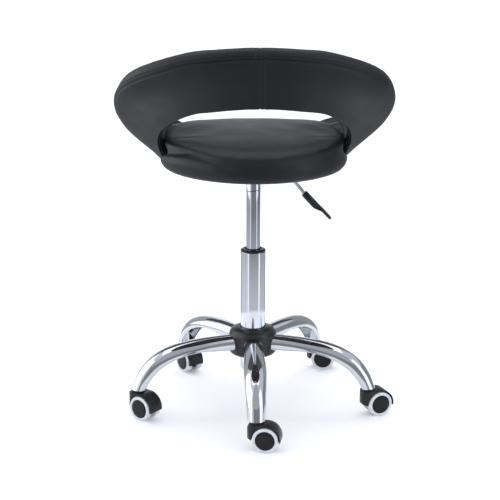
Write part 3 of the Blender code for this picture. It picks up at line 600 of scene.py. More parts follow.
def plywood_finish():
    """Plywood with its grain along X."""
    finish = Finish("plywood", (0.42, 0.29, 0.17), 0.68)
    along = finish.stretched((6.0, 70.0, 70.0))
    grain = finish.noise(2.2, 5.0, along)
    finish.tones(grain, (0.30, 0.19, 0.10), (0.52, 0.37, 0.22))
    finish.gloss(grain, 0.58, 0.78)
    finish.bump(grain, 0.25, 0.0005)
    return finish.material


def floor_finish():
    """Pale studio paper with a faint glow that keeps it near white."""
    finish = Finish("studio_floor", (0.93, 0.93, 0.935), 0.7, Emission_Strength=0.14)
    finish.shader.inputs["Emission Color"].default_value = (*STUDIO_TINT, 1.0)
    finish.tones(finish.noise(0.7, 2.0), (0.925, 0.925, 0.93), (0.94, 0.94, 0.945))
    return finish.material


# ---------------------------------------------------------------- soft goods

def spline_table(stations, fine):
    """Stations carried over to finer positions on smooth curves that never overshoot."""
    table = np.array(stations, float)
    where, values = table[:, 0], table[:, 1:]
    steps = np.diff(where)[:, None]
    slopes = np.diff(values, axis=0) / steps
    before, after = slopes[:-1], slopes[1:]
    same_way = before * after > 0
    level = np.where(same_way, 2 * before * after / np.where(same_way, before + after, 1.0), 0.0)
    ends = np.zeros((1, values.shape[1]))
    level = np.vstack([ends, level, ends])
    span = np.clip(np.searchsorted(where, fine, side="right") - 1, 0, len(where) - 2)
    width = steps[span]
    share = (fine[:, None] - where[span][:, None]) / width
    rest = 1 - share
    return (
        values[span] + (values[span + 1] - values[span]) * share ** 2 * (3 - 2 * share)
        + share * rest * width * (level[span] * rest - level[span + 1] * share)
    )


def back_angles():
    """Where the back's rings lie: evenly, with more of them beside the centre seam."""
    seam_radius = BACK_STATIONS[0][1]
    near = [0.0, 0.45, 0.9, *SEAM_OFFSETS[:-1]]
    near += [CENTRE_STITCH_OFFSET + step for step in (-1.6, -0.8, 0.0, 0.8, 1.6)]
    fine = [math.degrees(offset * MM / seam_radius) for offset in near]
    even = list(np.arange(3.2, TIP_END - 1.0, 1.5))
    tip = [TIP_END - 0.9, TIP_END - 0.4, TIP_END - 0.1, TIP_END]
    half = np.array(sorted(fine + [angle for angle in even if angle < tip[0]] + tip))
    return np.concatenate([-half[:0:-1], half])


def bezier(controls, shares):
    """Points on a Bezier curve, and the unit normals to the left of its heading."""
    points = np.repeat(np.array(controls, float)[:, None, :], len(shares), axis=1)
    t = np.array(shares)[None, :, None]
    while len(points) > 2:
        points = points[:-1] * (1 - t) + points[1:] * t
    heading = points[1] - points[0]
    heading /= np.linalg.norm(heading, axis=1)[:, None]
    place = points[0] * (1 - t[0]) + points[1] * t[0]
    return place, np.stack([-heading[:, 1], heading[:, 0]], axis=1)


def pulled(start, end, pulls):
    """Controls of a curve: its ends, and points pulled off by shares of its width and height."""
    span = np.subtract(end, start)
    return [start, *[tuple(np.add(start, span * np.array(pull))) for pull in pulls], end]


def seam_dip(offset, stitches=STITCH_OFFSET):
    """How deep the surface lies at an offset in mm from a seam: the seam itself and its stitches."""
    return MM * (
        1.2 * math.exp(-((offset / 1.0) ** 2))
        + 0.90 * math.exp(-(((offset - stitches) / 0.8) ** 2))
        - 0.35 * math.exp(-(((abs(offset) - stitches - 4.2) / 4.0) ** 2))
    )


def rim_size(rim_z, edge_z):
    """The rim's size beside its full one; it grows small where the back runs out."""
    return min(1.0, (rim_z - edge_z) / RIM_FULL_WALL)


def seam_drop(angle, rim_z, edge_z):
    """How far the rim's seam lies below its top."""
    return RIM_HEIGHT * rim_size(rim_z, edge_z) * (1 + RIM_SIDE_GAIN * math.sin(math.radians(angle)) ** 2)


def wall_curve(values, shares):
    """The outside of the back's wall from its lower edge to the rim's seam, and its normals."""
    rim_r, rim_z, edge_r, edge_z, drop = values
    return bezier(pulled((edge_r, edge_z), (rim_r, rim_z - drop), WALL_PULLS), shares)


def plain(points):
    """Points as outline corners without a fillet."""
    return [(*point, 0.0) for point in points]


def shell_outline(values):
    """Outline of the back's outer layer, and where its row of stitches lies in it."""
    rim_r, rim_z, edge_r, edge_z, drop = values
    length = math.hypot(rim_r - edge_r, rim_z - drop - edge_z) * 1.06
    near = [1 - offset * MM / length for offset in reversed(SEAM_OFFSETS)]
    shares = list(np.linspace(0, near[0], WALL_STEPS + 1)[:-1]) + near + [1.0]
    wall, normal = wall_curve(values, shares)
    dips = np.zeros(len(shares))
    dips[WALL_STEPS:-1] = [seam_dip(offset) for offset in reversed(SEAM_OFFSETS)]
    outer = wall + normal * dips[:, None]
    back = wall + normal * SHELL_THICKNESS
    corners = [(*outer[0], 2.4 * MM), *plain(outer[1:-1]), (*outer[-1], 1.3 * MM)]
    corners += [(*back[-1], 1.0 * MM), *plain(back[::3][::-1][1:-1]), (*back[0], 2.4 * MM)]
    stitch = FILLET_STEPS + WALL_STEPS + len(SEAM_OFFSETS) - SEAM_OFFSETS.index(STITCH_OFFSET) - 1
    return filleted(corners), stitch


def pad_outline(values, pad_edge):
    """Outline of the back's padded layer: rolled rim, inner face and hidden back."""
    rim_r, rim_z, _, edge_z, drop = values
    depth = RIM_DEPTH * rim_size(rim_z, edge_z)
    near = [offset * MM / (1.57 * drop) * math.pi / 2 for offset in SEAM_OFFSETS]
    turns = [0.0] + near + list(np.linspace(near[-1], math.pi, ROLL_STEPS + 1)[1:])
    dips = [0.0] + [seam_dip(offset) for offset in SEAM_OFFSETS] + [0.0] * ROLL_STEPS
    roll = [
        (rim_r - depth + (depth - dip) * math.cos(turn),
         rim_z - drop + LAYER_GAP + (drop - LAYER_GAP - dip) * math.sin(turn))
        for turn, dip in zip(turns, dips)
    ]
    face, _ = bezier(pulled(pad_edge, roll[-1], (FACE_PULL,)), np.linspace(1, 0, ROLL_STEPS + 1))
    wall, normal = wall_curve(values, np.linspace(0.10, 1.0, 8))
    hidden = wall + normal * (SHELL_THICKNESS + LAYER_GAP)
    corners = [(*roll[0], 1.2 * MM), *plain(roll[1:]), *plain(face[1:-1]), (*face[-1], 3.0 * MM)]
    corners += [(*hidden[0], 2.0 * MM), *plain(hidden[1:-1])]
    corners += [(hidden[-1][0], hidden[-1][1] + LAYER_GAP, 0.8 * MM)]
    return filleted(corners), FILLET_STEPS + 1 + SEAM_OFFSETS.index(STITCH_OFFSET)


def back_grids():
    """The shell's and the pad's points, ring by ring, with the index of each one's stitches."""
    angles = back_angles()
    table = spline_table(BACK_STATIONS, np.abs(angles))
    lap = spline_table(PAD_LAP, np.abs(angles))
    table[:, 4] -= lap[:, 0]
    table[:, 5] += lap[:, 1]
    shell, pad = [], []
    for angle, row in zip(angles, table):
        values = (*row[:4], seam_drop(angle, row[1], row[3]))
        outer, outer_stitch = shell_outline(values)
        inner, inner_stitch = pad_outline(values, row[4:])
        outer, inner = np.array(outer), np.array(inner)
        centre = (outer.mean(axis=0) + inner.mean(axis=0)) / 2
        past = max(abs(angle) - TIP_START, 0.0) / (TIP_END - TIP_START)
        scale = math.sqrt(max(1 - past ** 2, 0.003))
        shell.append(centre + (outer - centre) * scale)
        pad.append(centre + (inner - centre) * scale)
    turns = np.radians(angles - 90)[:, None]
    grids = []
    for outline in (np.array(shell), np.array(pad)):
        radius, height = outline[:, :, 0], outline[:, :, 1]
        grids.append(np.stack([radius * np.cos(turns), radius * np.sin(turns), height], axis=2))
    return angles, grids, (outer_stitch, inner_stitch)


def grid_normals(grid):
    """Outward unit normals of a grid of closed rings."""
    along = np.gradient(grid, axis=0)
    around = np.roll(grid, -1, axis=1) - np.roll(grid, 1, axis=1)
    normals = np.cross(along, around)
    size = np.linalg.norm(normals, axis=2, keepdims=True)
    normals = normals / np.where(size < 1e-12, 1.0, size)
    centre = grid.mean(axis=1, keepdims=True)
    outward = ((grid - centre) * normals).sum()
    return normals if outward > 0 else -normals


def unevenness(point, scale, seed):
    """Gentle hand-upholstered unevenness, between -1 and 1."""
    return noise.noise(Vector(point) * scale + Vector((seed, -seed, 2 * seed)))


def puffed(mesh, held, limit, voxel=0.005, pressure=4.0):
    """How far a light cloth simulation under pressure moves each vertex of a closed mesh.

    It runs on an evenly remeshed copy; its movement is carried back to the mesh's own
    vertices, so that seams stay sharp. Vertices where held(point) is true stay put.
    """
    movement = np.zeros((len(mesh.vertices), 3))
    source = placed("puff_source", mesh)
    remesh = source.modifiers.new("even", "REMESH")
    remesh.mode = "VOXEL"
    remesh.voxel_size = voxel
    even = evaluated(source)
    bpy.data.objects.remove(source)
    body = placed("puff", even)
    group = body.vertex_groups.new(name="held")
    group.add([v.index for v in even.vertices if held(v.co)], 1.0, "REPLACE")
    cloth = body.modifiers.new("cloth", "CLOTH")
    settings = cloth.settings
    settings.quality = 4
    settings.use_pressure = True
    settings.uniform_pressure_force = pressure
    settings.effector_weights.gravity = 0.0
    settings.vertex_group_mass = group.name
    for step in range(1, CLOTH_STEPS + 1):
        bpy.context.scene.frame_set(step)
    moved = body.evaluated_get(bpy.context.evaluated_depsgraph_get()).data
    rest = np.array([v.co for v in even.vertices])
    shift = np.array([v.co for v in moved.vertices]) - rest
    tree = kdtree.KDTree(len(rest))
    for index, point in enumerate(rest):
        tree.insert(point, index)
    tree.balance()
    for index, vert in enumerate(mesh.vertices):
        total, weight = np.zeros(3), 0.0
        for _, near, distance in tree.find_n(vert.co, CLOTH_NEIGHBOURS):
            share = 1.0 / (distance + MM) ** 2
            total += shift[near] * share
            weight += share
        movement[index] = total / weight
    bpy.context.scene.frame_set(1)
    bpy.data.objects.remove(body)
    size = np.linalg.norm(movement, axis=1, keepdims=True)
    return movement * limit / (limit + size)


def reshape(mesh, points):
    """Puts the mesh's vertices at the points."""
    mesh.vertices.foreach_set("co", points.astype(np.float32).ravel())
    mesh.update()


def stitch_row(path, outward, pitch=4.3 * MM, length=3.2 * MM, radius=0.42 * MM):
    """A row of stitches, each a short bead of thread laid along the path."""
    path, outward = np.array(path), np.array(outward)
    steps = np.linalg.norm(np.diff(path, axis=0), axis=1)
    travelled = np.concatenate([[0.0], np.cumsum(steps)])
    sides = 6
    profile = ((-0.50, 0.25), (-0.40, 0.75), (-0.18, 1.0), (0.18, 1.0), (0.40, 0.75), (0.50, 0.25))
    points, faces = [], []
    for place in np.arange(pitch, travelled[-1] - pitch, pitch):
        centre, beyond, lift = [
            np.array([np.interp(where, travelled, values[:, axis]) for axis in range(3)])
            for where, values in ((place, path), (place + MM, path), (place, outward))
        ]
        heading = (beyond - centre) / np.linalg.norm(beyond - centre)
        lift -= heading * (lift @ heading)
        lift /= np.linalg.norm(lift)
        side = np.cross(heading, lift)
        first = len(points)
        for along, share in profile:
            sink = (abs(along) * 2) ** 2 * 0.5 * radius
            hub = centre + heading * along * length + lift * (0.1 * radius - sink)
            for step in range(sides):
                turn = math.tau * step / sides
                points.append(hub + (side * math.cos(turn) + lift * math.sin(turn)) * radius * share)
        faces += grid_faces(len(profile), sides, first)
        faces.append(list(range(first, first + sides)))
        faces.append(list(range(len(points) - sides, len(points))))
    return mesh_from(points, faces, weld=False)


def back_layer(grid, angles, seed, side):
    """A layer of the back with its centre seam and hand-made unevenness, and its normals."""
    normals = grid_normals(grid)
    dips = np.zeros(grid.shape[:2])
    for row, angle in enumerate(angles):
        if abs(angle) >= TIP_START:
            continue
        offset = math.radians(angle) * BACK_STATIONS[0][1] / MM
        near_seam = abs(offset) < CENTRE_SEAM_REACH
        across = seam_dip(offset, side * CENTRE_STITCH_OFFSET) if near_seam else 0.0
        for column, point in enumerate(grid[row]):
            dips[row, column] = (
                across - 0.5 * MM * unevenness(point, 17, seed)
                - 0.25 * MM * unevenness(point, 43, seed)
            )
    return grid - normals * dips[:, :, None], normals


def back_stitches(angles, layers):
    """Rows of stitches beside the rim's seam and beside the centre seam, on both layers."""
    inside = np.abs(angles) < TIP_START + 3
    offsets = np.radians(angles) * BACK_STATIONS[0][1] / MM
    rows = []
    for grid, normals, column, *_ in layers:
        rows.append(stitch_row(grid[inside, column], normals[inside, column]))
    for grid, normals, _, first, last, offset in layers:
        ring = int(np.argmin(np.abs(offsets - offset)))
        rows.append(stitch_row(grid[ring, first:last], normals[ring, first:last]))
    return joined(rows)


def make_back(leather, thread):
    """The crescent back: shell, pad, welt between them, seams and stitches."""
    angles, (shell, pad), (shell_stitch, pad_stitch) = back_grids()
    shell, shell_normals = back_layer(shell, angles, 3.1, 1)
    pad, pad_normals = back_layer(pad, angles, 7.7, -1)
    pad_mesh = lofted(pad)
    pad += puffed(pad_mesh, pad_is_held, PUFF_LIMIT).reshape(pad.shape)
    reshape(pad_mesh, pad)
    for name, mesh, node, fill in (
        ("back_shell_leather", lofted(shell), "back_shell", 0.95),
        ("back_pad_leather", pad_mesh, "back_cushion", 0.8),
    ):
        add_piece(name, mesh, leather, "seat", [node], 60)
    stitches = back_stitches(angles, (
        (shell, shell_normals, shell_stitch, 4, shell_stitch - 1, CENTRE_STITCH_OFFSET),
        (pad, pad_normals, pad_stitch, pad_stitch + 1, CENTRE_STITCH_END, -CENTRE_STITCH_OFFSET),
    ))
    add_piece("back_stitching", stitches, thread, "seat")
    make_welt(angles, leather)
    make_back_feet(leather)


def pad_is_held(point):
    """The pad is sewn down along the rim seam and the lower edge, and its hidden side is flat."""
    angle = abs(math.degrees(math.atan2(point.x, -point.y)))
    rim_r, rim_z, _, edge_z, _, pad_z = spline_table(BACK_STATIONS, np.array([angle]))[0]
    seam_z = rim_z - seam_drop(angle, rim_z, edge_z)
    near_seam = math.hypot(point.xy.length - rim_r, point.z - seam_z) < PAD_HOLD
    near_edge = point.z < pad_z + PAD_HOLD
    return near_seam or near_edge or angle > TIP_START - 6


def make_welt(angles, leather):
    """Two rows of piping between the shell's and the pad's lower edges; the inner one is short."""
    table = spline_table(BACK_STATIONS, np.abs(angles))
    for row_name, first, inwards, up in WELTS:
        for side, name in SIDES:
            path = []
            for angle, row in zip(angles, table):
                if not first <= side * angle <= WELT_END:
                    continue
                wall, normal = wall_curve((*row[:4], RIM_HEIGHT), [0.02])
                radius, height = wall[0] + normal[0] * (SHELL_THICKNESS + inwards * MM)
                path.append(polar(radius, angle, height + up * MM))
            piping = tube(path, WELT_RADIUS, 12)
            add_piece(f"back_welt_{row_name}_{name}", piping, leather, "seat")


def make_back_feet(leather):
    """Tongues of the shell, turned in under the seat board and screwed to it."""
    low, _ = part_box("back_shell")
    ends = (FOOT_ANGLES[0], FOOT_ANGLES[-1])
    for side, name in SIDES:
        outline = filleted([
            (*polar(radius, side * angle, 0).xy, 4 * MM if angle in ends else 0.0)
            for radius, angles in ((0.173, FOOT_ANGLES), (0.136, FOOT_ANGLES[::-1])) for angle in angles
        ])
        tongue = combined(prism(outline, low.z + 0.3 * MM, low.z + 4.4 * MM), bevel=1.2 * MM)
        add_piece(f"back_foot_{name}", tongue, leather, "seat")


def cushion_profile(rear):
    """The cushion's outline from under its edge over to its middle; it slopes more at the rear."""
    slope = 0.65 * MM * rear
    corners = np.array((
        (0.1503, 0.5005), (0.1503, 0.4968), (0.1575, 0.4960), (0.1680, 0.4970), (0.1772, 0.5010),
        (0.1821, 0.5105), (CUSHION_RADIUS, 0.5235), (0.1802, 0.5390 - 3 * slope),
        (0.1722, 0.5520 - 7 * slope), (0.1550, 0.5605 - 9 * slope), (0.1150, 0.5650 - 7 * slope),
        (0.0750, 0.5670 - 4 * slope), (0.0350, 0.5678 - 1.5 * slope), (0.0, 0.5680),
    ))
    return through(corners, 7)


def through(corners, steps):
    """A smooth line through corners, with the same number of steps between every two."""
    padded = np.vstack([2 * corners[0] - corners[1], corners, 2 * corners[-1] - corners[-2]])
    line = []
    for span in range(len(corners) - 1):
        a, b, c, d = padded[span:span + 4]
        for step in range(steps):
            t = step / steps
            line.append(0.5 * (
                2 * b + (c - a) * t + (2 * a - 5 * b + 4 * c - d) * t ** 2
                + (3 * b - a - 3 * c + d) * t ** 3
            ))
    return [*line, corners[-1]]


def cushion_point(radius, height, angle, line, depth):
    """A point of the cushion's outline, pressed in, raised and creased as it is at an angle."""
    away = abs(angle)
    upper, lower = NOTCH_START
    start = upper + (lower - upper) * (1 - smooth_step(*NOTCH_START_HEIGHTS, height))
    notch = smooth_step(start, start + NOTCH_RUN_IN, away) * (1 - smooth_step(*NOTCH_END, away))
    covered = smooth_step(*LAP_HEIGHTS, height) * (1 - smooth_step(*LAP_ANGLES, away))
    notch *= 1 - 0.95 * covered
    reach = max(radius - BOARD_RADIUS, 0.0) / (CUSHION_RADIUS - BOARD_RADIUS)
    radius = radius - CUSHION_NOTCH * notch * reach
    sideways = radius * math.sin(math.radians(angle)) / CUSHION_RADIUS
    front = smooth_step(*SADDLE_FRONT, away)
    saddle = CUSHION_SADDLE[0] * (1 - front) + CUSHION_SADDLE[1] * front
    raised = saddle * sideways ** 2 * smooth_step(*SADDLE_HEIGHTS, height)
    raised *= smooth_step(*SADDLE_RADII, radius)
    if reach > 0:
        valley = math.exp(-(((height - line) / CREASE_WIDTH) ** 2))
        roll = math.exp(-(((height - line + 3.0 * CREASE_WIDTH) / (2 * CREASE_WIDTH)) ** 2))
        radius -= depth * (valley - 0.45 * roll)
        height -= 0.5 * depth * valley
    return polar(radius, angle, height + raised)


def make_seat_cushion(leather):
    """Round crowned cushion, pressed in by the back at its sides, with a soft shoulder crease."""
    crease = np.array(CREASE, float)
    grid = np.zeros((CUSHION_SIDES, len(cushion_profile(0.0)), 3))
    for row in range(CUSHION_SIDES):
        angle = -180 + 360 / CUSHION_SIDES * row
        profile = cushion_profile(smooth_step(100, 40, abs(angle)))
        line = np.interp(angle, crease[:, 0], crease[:, 1])
        depth = np.interp(angle, crease[:, 0], crease[:, 2], 0.0, 0.0) * MM
        for column, (radius, height) in enumerate(profile):
            point = cushion_point(radius, height, angle, line, depth)
            if column > UNDER_EDGE_STEPS:
                outward = Vector((point.x * 3, point.y * 3, 1.0))
                middle = min(1.0, point.xy.length / 0.05)
                point += outward * middle * 0.4 * MM * unevenness(point, 8, 1.3)
            grid[row, column] = point
    mesh = cushion_mesh(grid)
    rest = np.array([vert.co for vert in mesh.vertices])
    reshape(mesh, rest + puffed(mesh, cushion_is_held, PUFF_LIMIT))
    piece = add_piece("seat_cushion_leather", mesh, leather, "seat", ["seat_cushion"], 80)


def make_dust_cover(cloth):
    """Black cloth stapled under the seat board and the cushion's turned-in edge."""
    low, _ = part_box("seat_board")
    cover = turned([
        (0.0, low.z - 0.7 * MM, 0.0), (0.1500, low.z - 0.7 * MM, 1.0 * MM),
        (0.1560, low.z + 1.0 * MM, 0.6 * MM), (0.1560, low.z + 1.7 * MM, 0.4 * MM),
        (0.1500, low.z - 0.2 * MM, 1.0 * MM), (0.0, low.z - 0.2 * MM, 0.0),
    ], 120)
    add_piece("seat_dust_cover", cover, cloth, "seat", sharp=60)


def cushion_mesh(grid):
    """Skin of the cushion, closed underneath along the board's edge."""
    sides, columns = grid.shape[:2]
    faces = grid_faces(sides, columns, looped=True, rings=False)
    faces.append([row * columns for row in range(sides)])
    return mesh_from([tuple(point) for point in grid.reshape(-1, 3)], faces)


def cushion_is_held(point):
    """The leather is stapled down under the board's edge and pressed by the back."""
    angle = abs(math.degrees(math.atan2(point.x, -point.y)))
    radius = math.hypot(point.x, point.y)
    pressed = 72 < angle < 150 and radius > 0.158
    return point.z < 0.506 or pressed


# ---------------------------------------------------------------- hard pieces

def arch(half_width, depth, points=25):
    """Half of a superellipse, from one side over the top: (sideways, down) points."""
    outline = []
    for index in range(points):
        turn = math.pi * index / (points - 1)
        side = abs(math.cos(turn)) ** (2 / ARM_ARCH_POWER) * math.copysign(1, math.cos(turn))
        rise = math.sin(turn) ** (2 / ARM_ARCH_POWER) if 0 < index < points - 1 else 0.0
        outline.append((half_width * side, depth * (1 - rise)))
    return outline


def channel_ring(station, solid=False):
    """An arm's cross-section: arch and legs outside, then inside, with rounded lower edges.

    The solid one has no inside, and its outside lies in the middle of the arm's wall.
    """
    top_radius, top_height, low_radius, low_height, width = station
    ridge = Vector((top_radius, 0.0, top_height))
    down = Vector((low_radius, 0.0, low_height)) - ridge
    leg = down.length
    down.normalize()
    inset = ARM_WALL / 2 if solid else 0.0
    half = width / 2 - inset
    outer = [(side, depth + inset) for side, depth in arch(half, ARM_ARCH)]
    inner = [(side, depth + ARM_WALL) for side, depth in reversed(arch(half - ARM_WALL, ARM_ARCH))]
    rounding = ARM_WALL / 2
    outline = [(half, leg - rounding), (half, (leg + ARM_ARCH) / 2), *outer]
    outline += [(-half, (leg + ARM_ARCH) / 2), (-half, leg - rounding)]
    outline += [(-half + rounding, leg)]
    if not solid:
        outline += [(-half + ARM_WALL, leg - rounding), *inner, (half - ARM_WALL, leg - rounding)]
    outline += [(half - rounding, leg)]
    return [ridge + down * depth + Vector((0, side, 0)) for side, depth in outline]


def make_arms(chrome):
    """Five pressed channels, each with the sleeve of a caster's stem in its end."""
    stations = through(np.array(ARM_STATIONS), 7)
    channel = lofted([channel_ring(station) for station in stations])
    filled = lofted([channel_ring(station, solid=True) for station in stations])
    sleeve = turned([
        (0.0059, 0.0585, 0.5 * MM), (0.0118, 0.0585, 0.5 * MM), (0.0118, 0.0900, 0.0),
        (0.0059, 0.0900, 0.0),
    ], 48)
    sleeve.transform(Matrix.Translation((CASTER_CIRCLE, 0, 0)))
    arm = joined([channel, combined(sleeve, keeps=[filled])])
    for index in range(ARM_COUNT):
        turn = Matrix.Rotation(math.radians(FIRST_ARM_ANGLE + 360 / ARM_COUNT * index), 4, "Z")
        node = f"arm_{index + 1}"
        add_piece(f"{node}_chrome", arm.copy(), chrome, "base", [node], 50, TO_COLUMN @ turn)


def arm_bars(outline, start):
    """Bars along the arms, from a radius outwards, that clear them out of a hub cover."""
    bars = []
    for index in range(ARM_COUNT):
        turn = Matrix.Rotation(math.tau / ARM_COUNT * index, 4, "Z")
        bars.append(lofted([
            [turn @ Vector((radius, side, height)) for side, height in outline]
            for radius in (start, COVER_RADIUS + 0.01)
        ]))
    return bars


def make_hub_covers(plastic):
    """Upper and lower hub cover, cut out round the arms."""
    top = turned([
        (COVER_BORE, COVER_TOP - COVER_WALL, 0.4 * MM), (COVER_BORE, COVER_TOP, 1.0 * MM),
        (0.0300, COVER_TOP + 0.3 * MM, 1.5 * MM), (0.0315, COVER_TOP - 1.2 * MM, 1.0 * MM),
        (0.0420, COVER_TOP - 4.5 * MM, 9 * MM), (0.0478, COVER_TOP - 13 * MM, 9 * MM),
        (COVER_RADIUS, COVER_SPLIT + 0.3 * MM, 0.6 * MM),
        (COVER_RADIUS - COVER_WALL, COVER_SPLIT + 0.3 * MM, 0.4 * MM),
        (0.0450, COVER_TOP - 15 * MM, 6 * MM), (0.0400, COVER_TOP - 8 * MM, 5 * MM),
        (0.0290, COVER_TOP - 3.5 * MM, 1 * MM),
    ], 100)
    _, arm_top, _, arm_low, arm_width = ARM_STATIONS[0]
    half = arm_width / 2 + 1.1 * MM
    arched = [(side, arm_top + 0.6 * MM - depth) for side, depth in arch(half, ARM_ARCH)]
    arched = [(half, COVER_SPLIT - 0.01), *arched, (-half, COVER_SPLIT - 0.01)]
    top = combined(top, cuts=arm_bars(arched, 0.034), bevel=0.7 * MM)
    floor = COVER_BOTTOM + COVER_WALL
    bottom = turned([
        (COVER_BORE, COVER_BOTTOM, 0.6 * MM), (0.0455, COVER_BOTTOM, 3 * MM),
        (COVER_RADIUS, COVER_BOTTOM + 4 * MM, 3 * MM), (COVER_RADIUS, COVER_SPLIT - 0.3 * MM, 0.6 * MM),
        (COVER_RADIUS - COVER_WALL, COVER_SPLIT - 0.3 * MM, 0.4 * MM),
        (COVER_RADIUS - COVER_WALL, COVER_BOTTOM + 6 * MM, 2 * MM), (0.0440, floor, 2 * MM),
        (COVER_BORE, floor, 0.5 * MM),
    ], 100)
    low, high = arm_low - 0.7 * MM, COVER_SPLIT + 0.01
    square = [(-half, low), (half, low), (half, high), (-half, high)]
    bottom = combined(bottom, cuts=arm_bars(square, 0.036), bevel=0.7 * MM)
    place = TO_COLUMN @ Matrix.Rotation(math.radians(FIRST_ARM_ANGLE), 4, "Z")
    for name, mesh, node in (
        ("hub_cover_upper", top, "hub_cover_top"), ("hub_cover_lower", bottom, "hub_cover_bottom"),
    ):
        add_piece(name, mesh, plastic, "base", [node], 40, place)


def make_column(column_chrome, plastic):
    """The gas lift's outer tube and the guide bush in its mouth."""
    low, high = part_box("column_tube")
    inner = COLUMN_RADIUS - COLUMN_WALL
    column = turned([
        (0.0056, low.z, 0.3 * MM), (COLUMN_RADIUS, low.z, 1.5 * MM), (COLUMN_RADIUS, high.z, 0.5 * MM),
        (inner, high.z, 0.4 * MM), (inner, low.z + 3 * MM, 1.0 * MM), (0.0056, low.z + 3 * MM, 0.0),
    ], 128)
    add_piece("column_chrome", column, column_chrome, "base", ["column_tube"], 40)
    low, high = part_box("column_bush")
    bore = CYLINDER_RADIUS + 0.3 * MM
    sleeve = inner - 0.3 * MM
    bush = turned([
        (bore, low.z, 0.5 * MM), (sleeve, low.z, 0.5 * MM), (sleeve, high.z - 4.7 * MM, 0.0),
        (COLUMN_RADIUS, high.z - 4.7 * MM, 0.3 * MM), (COLUMN_RADIUS, high.z - 2.2 * MM, 1.2 * MM),
        (0.0212, high.z, 1.6 * MM), (0.0172, high.z, 1.0 * MM), (0.0160, high.z - 1.6 * MM, 0.8 * MM),
        (bore, high.z - 2.2 * MM, 0.5 * MM),
    ], 96)
    add_piece("guide_bush", bush, plastic, "base", ["column_bush"], 40)


def make_cylinder(cylinder_chrome, dark_ring):
    """The gas cylinder with a dark ring left round it."""
    low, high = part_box("gas_cylinder")
    cylinder = turned([
        (0.0053, low.z, 0.4 * MM), (0.0110, low.z, 0.8 * MM), (CYLINDER_RADIUS, low.z + 3 * MM, 1.5 * MM),
        (CYLINDER_RADIUS, high.z, 0.6 * MM), (0.0043, high.z, 0.3 * MM), (0.0043, high.z - 9 * MM, 0.0),
        (0.0053, high.z - 9 * MM, 0.0),
    ], 128)
    add_piece("cylinder_chrome", cylinder, cylinder_chrome, "seat", ["gas_cylinder"], 40)
    tilt = math.radians(RING_TILT)
    circle = arc_points(CYLINDER_RADIUS + RING_PROUD - RING_THICKNESS, 64)
    path = [(x, y, RING_HEIGHT + x * math.tan(tilt)) for x, y in circle]
    ring = tube(path, RING_THICKNESS, 24, looped=True)
    add_piece("cylinder_ring", ring, dark_ring, "seat")


def lever_path():
    """The rod's centre line, straight out and then bent down."""
    slope = math.radians(LEVER_SLOPE)
    straight = LEVER_BEND_RADIUS * math.tan(slope / 2)
    flat = [(x, LEVER_HEIGHT) for x in (LEVER_INNER_END, LEVER_INNER_END + 0.6 * MM, 0.020, LEVER_PIVOT)]
    centre = (LEVER_BEND - straight, LEVER_HEIGHT - LEVER_BEND_RADIUS)
    bend = arc_points(LEVER_BEND_RADIUS, 14, centre, math.pi / 2, math.pi / 2 - slope)
    end = (HANDLE_START + 0.004, handle_height() - 0.004 * math.tan(slope))
    return [(x, 0.0, z) for x, z in [*flat, *bend, end]]


def handle_height():
    """Height of the rod's centre line where the handle starts."""
    return LEVER_HEIGHT - (HANDLE_START - LEVER_BEND) * math.tan(math.radians(LEVER_SLOPE))


def thread_mesh():
    """A rolled thread on the rod's lower end, where the handle screws on."""
    slope = math.radians(LEVER_SLOPE)
    heading = Vector((math.cos(slope), 0, -math.sin(slope)))
    up = Vector((math.sin(slope), 0, math.cos(slope)))
    side = heading.cross(up)
    end = Vector((HANDLE_START, 0, handle_height())) + heading * 2 * MM
    path = []
    for step in range(int(THREAD_LENGTH / THREAD_PITCH * THREAD_STEPS)):
        turn = math.tau * step / THREAD_STEPS
        along = -THREAD_LENGTH + THREAD_PITCH * step / THREAD_STEPS
        around = up * math.cos(turn) + side * math.sin(turn)
        path.append(end + heading * along + around * (LEVER_ROD_RADIUS - 0.1 * MM))
    return tube(path, 0.5 * MM, 6)


def handle_shape():
    """Paddle handle: a deep neck over the rod, a taper, and a thin blade with a round end."""
    lift = (HANDLE_NECK_DEPTH - HANDLE_BLADE_DEPTH) / 2
    grip_start = 0.063
    end_radius = HANDLE_LENGTH - grip_start
    marks = (
        (0.0, 0.84, 0.80, 0.0), (0.0006, 0.94, 0.93, 0.0), (0.0016, 1.0, 1.0, 0.0),
        (0.016, 1.03, 1.0, 0.0), (0.030, 1.09, 1.0, 0.0), (0.036, 1.15, 0.93, 0.08),
        (0.041, 1.24, 0.76, 0.36),
        (0.046, 1.36, 0.55, 0.72), (0.0505, 1.45, 0.42, 0.95), (0.056, 1.55, 0.387, 1.0),
        (grip_start, 1.625, 0.387, 1.0),
    )
    stations = [
        (along, HANDLE_NECK_WIDTH * wide, HANDLE_NECK_DEPTH * deep, lift * raised)
        for along, wide, deep, raised in marks
    ]
    for turn in (12, 24, 36, 48, 60, 70, 78, 84, 88):
        share = math.cos(math.radians(turn))
        along = grip_start + end_radius * math.sin(math.radians(turn))
        thin = HANDLE_BLADE_DEPTH * min(1.0, 0.35 + share)
        stations.append((along, HANDLE_GRIP_WIDTH * share, thin, lift))
    rings = []
    for along, width, depth, raised in stations:
        corner = min(0.42 * depth, 0.42 * width)
        half_w, half_d = width / 2, depth / 2
        corners = ((half_w, half_d), (-half_w, half_d), (-half_w, -half_d), (half_w, -half_d))
        outline = filleted([(*place, corner) for place in corners], 6)
        rings.append([Vector((along, side, rise + raised)) for side, rise in outline])
    mesh = lofted(rings)
    start = Matrix.Translation((HANDLE_START, 0, handle_height()))
    mesh.transform(start @ Matrix.Rotation(math.radians(HANDLE_SLOPE), 4, "Y"))
    return mesh


